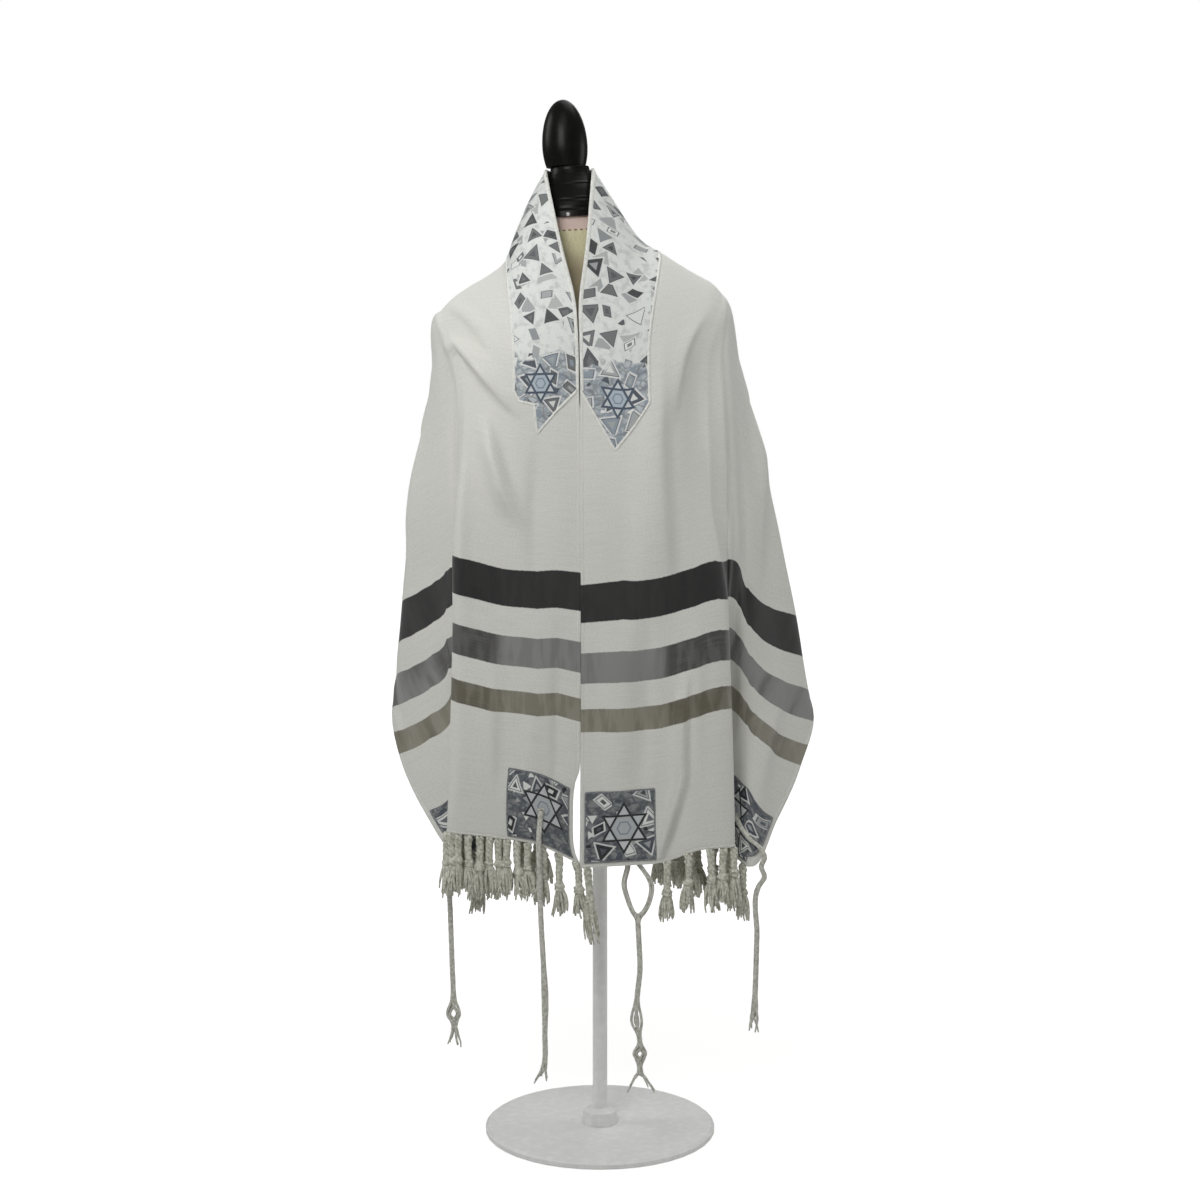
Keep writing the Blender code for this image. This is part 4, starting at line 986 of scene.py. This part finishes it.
def triangle_at(n, x, y, turn):
    """How far a point lies from the middle of a triangle, along the nearest of its three sides' normals."""
    angles = [turn + math.tau * k / 3 for k in range(3)]
    dots = [x * math.cos(angle) + y * math.sin(angle) for angle in angles]
    return n.math("MAXIMUM", n.math("MAXIMUM", dots[0], dots[1]), dots[2])


def scraps_over(n, place, ground, spacing, shift, sizes, tones, sparse, rim):
    """Angular scraps, one to a cell and each turned its own way, laid over a ground."""
    moved = n.run(n.add("VectorMath", operation="ADD"), place, shift)
    cell = n.add("TexVoronoi", feature="F1")
    n.run(cell, Vector=moved, Scale=1 / spacing, Randomness=0.5)
    chance = n.split("SeparateColor", n.read(cell, "Color"))
    local = n.run(n.add("VectorMath", operation="SUBTRACT"), moved, n.read(cell, "Position"))
    turned = n.run(n.add("VectorRotate", rotation_type="Z_AXIS"), Vector=local, Angle=chance[0] * math.tau)
    x, y, _ = n.split("SeparateXYZ", turned)

    def again(k, times):
        """Another chance value for the cell, made from one of its three."""
        return n.math("FRACT", chance[k] * times)

    three = triangle_at(n, x, y, 0.0)
    four = n.math("MAXIMUM", abs(x + y * 0.3) * 1.25, abs(y) * 0.85)
    far = three + n.math("GREATER_THAN", again(0, 7.0), 0.62) * (four - three)
    size = sizes[0] + chance[1] * (sizes[1] - sizes[0])
    there = n.math("GREATER_THAN", again(1, 9.0), sparse)

    def within(reach):
        return n.step(far - reach, -0.0003, 0.0003, 1.0, 0.0) * there

    colour = n.mix(within(size + 0.002) * rim, ground, (0.8, 0.81, 0.79))
    if rim:
        colour = n.mix(within(size), colour, (0.06, 0.066, 0.075))
    colour = n.mix(within(size - 0.0008), colour, n.ramp(again(2, 5.0), tones))
    return n.mix(within(size * 0.42) * rim, colour, n.ramp(chance[2], tones))


def patchwork_finish(name, stars, shift, deep_from, dark):
    """A generic print: turned scraps on a pale ground, closer and bluer round each plain star."""
    n = Nodes(bpy.data.materials.new(name))
    u, v = n.flat()
    place = n.point(u, v)
    white, silver, grey = (0.84, 0.86, 0.83), (0.42, 0.44, 0.44), (0.17, 0.18, 0.18)
    slate, blue, black = (0.08, 0.095, 0.12), (0.3, 0.35, 0.4), (0.016, 0.018, 0.02)
    tones = (
        (0, grey), (0.28, (0.1, 0.105, 0.11)), (0.46, silver), (0.58, (0.055, 0.06, 0.06)),
        (0.74, grey), (0.9, white),
    )
    soft = ((0, silver), (0.35, (0.52, 0.54, 0.52)), (0.7, (0.3, 0.32, 0.33)))
    if dark:
        marble, cloud, vein, vein_share = (0.085, 0.097, 0.108), (0.26, 0.27, 0.27), slate, 0.75
        heart, outline = (0.5, 0.53, 0.54), black
        near_star = ((0, slate), (0.2, white), (0.36, black), (0.52, silver), (0.66, slate), (0.8, white))
    else:
        marble, cloud, vein, vein_share = blue, (0.55, 0.59, 0.61), grey, 0.55
        heart, outline = (0.46, 0.54, 0.6), (0.06, 0.085, 0.125)
        near_star = ((0, slate), (0.22, white), (0.42, grey), (0.6, silver), (0.8, blue))
    cloudy = n.noise(place, 90.0, 4.0)
    pale = n.mix(n.step(cloudy, 0.46, 0.7, 0.0, 0.6), white, (0.52, 0.54, 0.53))
    pale = scraps_over(n, place, pale, 0.033, (3.1 + shift, 1.7, 0), (0.006, 0.009), soft, 0.25, 0.0)
    pale = scraps_over(n, place, pale, 0.0285, (shift, 0.4, 0), (0.005, 0.0078), tones, 0.12, 0.9)
    stretched = n.point(u, v * 0.6, shift)
    veins = n.run(n.add("TexVoronoi", feature="DISTANCE_TO_EDGE"), Vector=stretched, Scale=120.0)
    deep = n.mix(n.step(cloudy, 0.36, 0.6), marble, cloud)
    deep = n.mix(n.step(veins, 0.04, 0.12, vein_share, 0.0), deep, vein)
    deep = scraps_over(n, place, deep, 0.017, (shift, 2.2, 0), (0.0026, 0.0048), near_star, 0.15, 0.0)
    deep = scraps_over(n, place, deep, 0.029, (2.3 - shift, 0.9, 0), (0.0048, 0.008), near_star, 0.15, 0.9)
    reach = abs(u) + (n.noise(place, 45.0, 1.0) - 0.5) * 0.05
    colour = n.mix(n.step(reach, deep_from - 0.004, deep_from + 0.004), pale, deep)
    for star_u, star_v, tip in stars:
        x, y = u - star_u, v - star_v
        side = tip / 2
        up, down = triangle_at(n, x, y, 0.0), triangle_at(n, x, y, math.pi)
        inside, core = n.math("MINIMUM", up, down), n.math("MAXIMUM", up, down)
        colour = n.mix(n.step(inside, side - 0.0002, side + 0.0004, 0.9, 0.0), colour, (0.66, 0.69, 0.7))
        colour = n.mix(n.step(core, side * 0.96, side * 1.02, 1.0, 0.0), colour, heart)
        ring = abs(core - side * 0.45)
        colour = n.mix(n.step(ring, 0.0006, 0.001, 0.8, 0.0), colour, (0.16, 0.21, 0.28))
        for shape in (up, down):
            off = abs(shape - (side - 0.0012))
            colour = n.mix(n.step(off, 0.0011, 0.0016, 1.0, 0.0), colour, outline)
    thread = n.streaks(u, v, 500.0, 900.0)
    colour = n.mix(n.step(thread, 0.35, 0.75, 0.0, 0.18), colour, (0.35, 0.35, 0.36))
    return n.shader(colour, 0.55, Normal=n.bump(thread, 0.25, 0.0004), Specular_IOR_Level=0.3)


def yarn_finish(name, pale, deep):
    n = Nodes(bpy.data.materials.new(name))
    lay = n.streaks(*n.flat(), 14.0, 900.0)
    fluff = n.noise(n.read(n.add("TexCoord"), "Object"), 260.0, 3.0)
    colour = n.mix(n.step(fluff, 0.35, 0.7), pale, deep)
    bump = n.bump(lay + fluff, 0.5, 0.0005)
    return n.shader(colour, 0.9, Normal=bump, Sheen_Weight=0.15, Specular_IOR_Level=0.15)


def linen_finish():
    """Linen stretched on the form, with a rosy band of lining where it meets the cap; below 0.56 m up the
    form its colour is darker, as painted shade.
    """
    n = Nodes(bpy.data.materials.new("form_linen"))
    u, v = n.flat()
    threads = n.streaks(u, v, 130.0, 1500.0) + n.streaks(u, v, 900.0, 60.0)
    colour = n.mix(n.step(threads, 0.8, 1.25), (0.62, 0.58, 0.37), (0.8, 0.76, 0.5))
    # painted shade: the linen turns darker below 0.56 m up the form, as in the shadow at the bottom of the
    # neck opening
    colour = n.mix(n.step(v, 0.56, 0.6, 1.0, 0.0), colour, (0.45, 0.39, 0.26))
    colour = n.mix(n.step(v, 0.612, 0.616), colour, (0.74, 0.58, 0.52))
    dash = n.step(n.math("SINE", u * 300.0), 0.0, 0.3)
    row = n.step(abs(v - 0.6135), 0.0006, 0.0012, 1.0, 0.0)
    colour = n.mix(dash * row, colour, (0.26, 0.11, 0.09))
    return n.shader(colour, 0.9, Normal=n.bump(threads, 0.4, 0.0004), Specular_IOR_Level=0.2)


def gloss_finish(name, colour, roughness, specular):
    n = Nodes(bpy.data.materials.new(name))
    dust = n.noise(n.read(n.add("TexCoord"), "Object"), 90.0, 3.0)
    dusty = tuple(min(c * 1.12 + 0.002, 1) for c in colour)
    shade = n.mix(n.step(dust, 0.4, 0.8), colour, dusty)
    return n.shader(shade, roughness, Normal=n.bump(dust, 0.02, 0.0005), Specular_IOR_Level=specular)


# ======== the studio


def build_studio():
    scene = bpy.context.scene
    scene.view_settings.view_transform = "Standard"
    world = bpy.data.worlds.new("studio")
    scene.world = world
    n = Nodes(world)
    _, _, up = n.split("SeparateXYZ", n.read(n.add("TexCoord"), "Generated"))
    horizon, low, high = (0.055, 0.055, 0.052), (0.105, 0.105, 0.1), (0.2, 0.2, 0.197)
    sky = n.ramp(up, ((0.0, horizon), (0.05, low), (0.85, high)), "LINEAR")
    seen = n.read(n.add("LightPath"), "Is Camera Ray")
    n.run(n.tree.nodes["Background"], Color=n.mix(seen, sky, (1.0, 1.0, 1.0)))
    bpy.ops.mesh.primitive_circle_add(vertices=64, radius=FLOOR_RADIUS, fill_type="NGON", location=(0, 0, 0))
    floor = bpy.context.object
    floor.name = "studio_floor"
    n = Nodes(bpy.data.materials.new("studio_floor"))
    away = n.add("VectorMath", operation="LENGTH")
    n.feed(away.inputs[0], n.read(n.add("TexCoord"), "Object"))
    glow = n.step(n.read(away, "Value"), 0.3, 2.2, 0.55, 1.0) * n.read(n.add("LightPath"), "Is Camera Ray")
    white = (1, 1, 1, 1)
    n.shader((0.8, 0.8, 0.79, 1), 0.9, Emission_Strength=glow, Emission_Color=white, Specular_IOR_Level=0.0)
    floor.data.materials.append(n.owner)
    for name, place, aim_height, size, energy in LIGHTS:
        light = bpy.data.objects.new(name, bpy.data.lights.new(name, "AREA"))
        light.data.size = size
        light.data.energy = energy
        light.location = place
        towards = Vector((0, 0, aim_height)) - Vector(place)
        light.rotation_euler = towards.to_track_quat("-Z", "Y").to_euler()
        scene.collection.objects.link(light)
    camera = bpy.data.objects.new("camera", bpy.data.cameras.new("camera"))
    camera.data.lens = CAMERA_LENS
    camera.data.sensor_width = CAMERA_SENSOR
    camera.location = CAMERA_PLACE
    camera.rotation_euler = (math.radians(CAMERA_TILT), 0, 0)
    scene.collection.objects.link(camera)
    scene.camera = camera


def main():
    cloth_look = cloth_finish()
    stars = [(-0.3595, 0.05, 0.025), (0.3655, 0.0475, 0.025)]
    band_look = patchwork_finish("neckband_print", stars, 0.37, 0.328, False)
    corner_stars = ((0.004, -0.008), (0.0, 0.002), (0.002, 0.006), (-0.003, -0.004))
    patch_looks = [
        patchwork_finish(f"corner_print_{k + 1}", [(*at, 0.033)], 0.61 + 0.23 * k, -1.0, True)
        for k, at in enumerate(corner_stars)
    ]
    piping = yarn_finish("cream_piping", (0.88, 0.88, 0.84), (0.76, 0.76, 0.71))
    stitch = yarn_finish("corner_thread", (0.3, 0.31, 0.32), (0.18, 0.19, 0.2))
    yarn = yarn_finish("fringe_yarn", (0.76, 0.76, 0.67), (0.46, 0.46, 0.38))
    cord = yarn_finish("tzitzit_yarn", (0.72, 0.72, 0.66), (0.48, 0.48, 0.42))
    black = gloss_finish("black_gloss", (0.006, 0.006, 0.005), 0.3, 0.12)
    enamel = gloss_finish("white_enamel", (0.9, 0.9, 0.9), 0.35, 0.4)
    steel = gloss_finish("screw_steel", (0.62, 0.6, 0.55), 0.35, 0.5)
    torso = build_form(linen_finish(), black, enamel, steel)
    cloth = build_cloth(cloth_look)
    sewn = build_band(band_look, piping) + build_patches(patch_looks, stitch) + build_hems(cloth_look)
    rng = np.random.default_rng(31)
    sewn += [build_fringe(side, word, yarn, rng) for side, word in SIDES]
    sewn += [build_tzitzit(name, *rows, cord, rng) for name, rows in TZITZIT.items()]
    build_studio()


bpy.ops.object.select_all(action="DESELECT")
main()
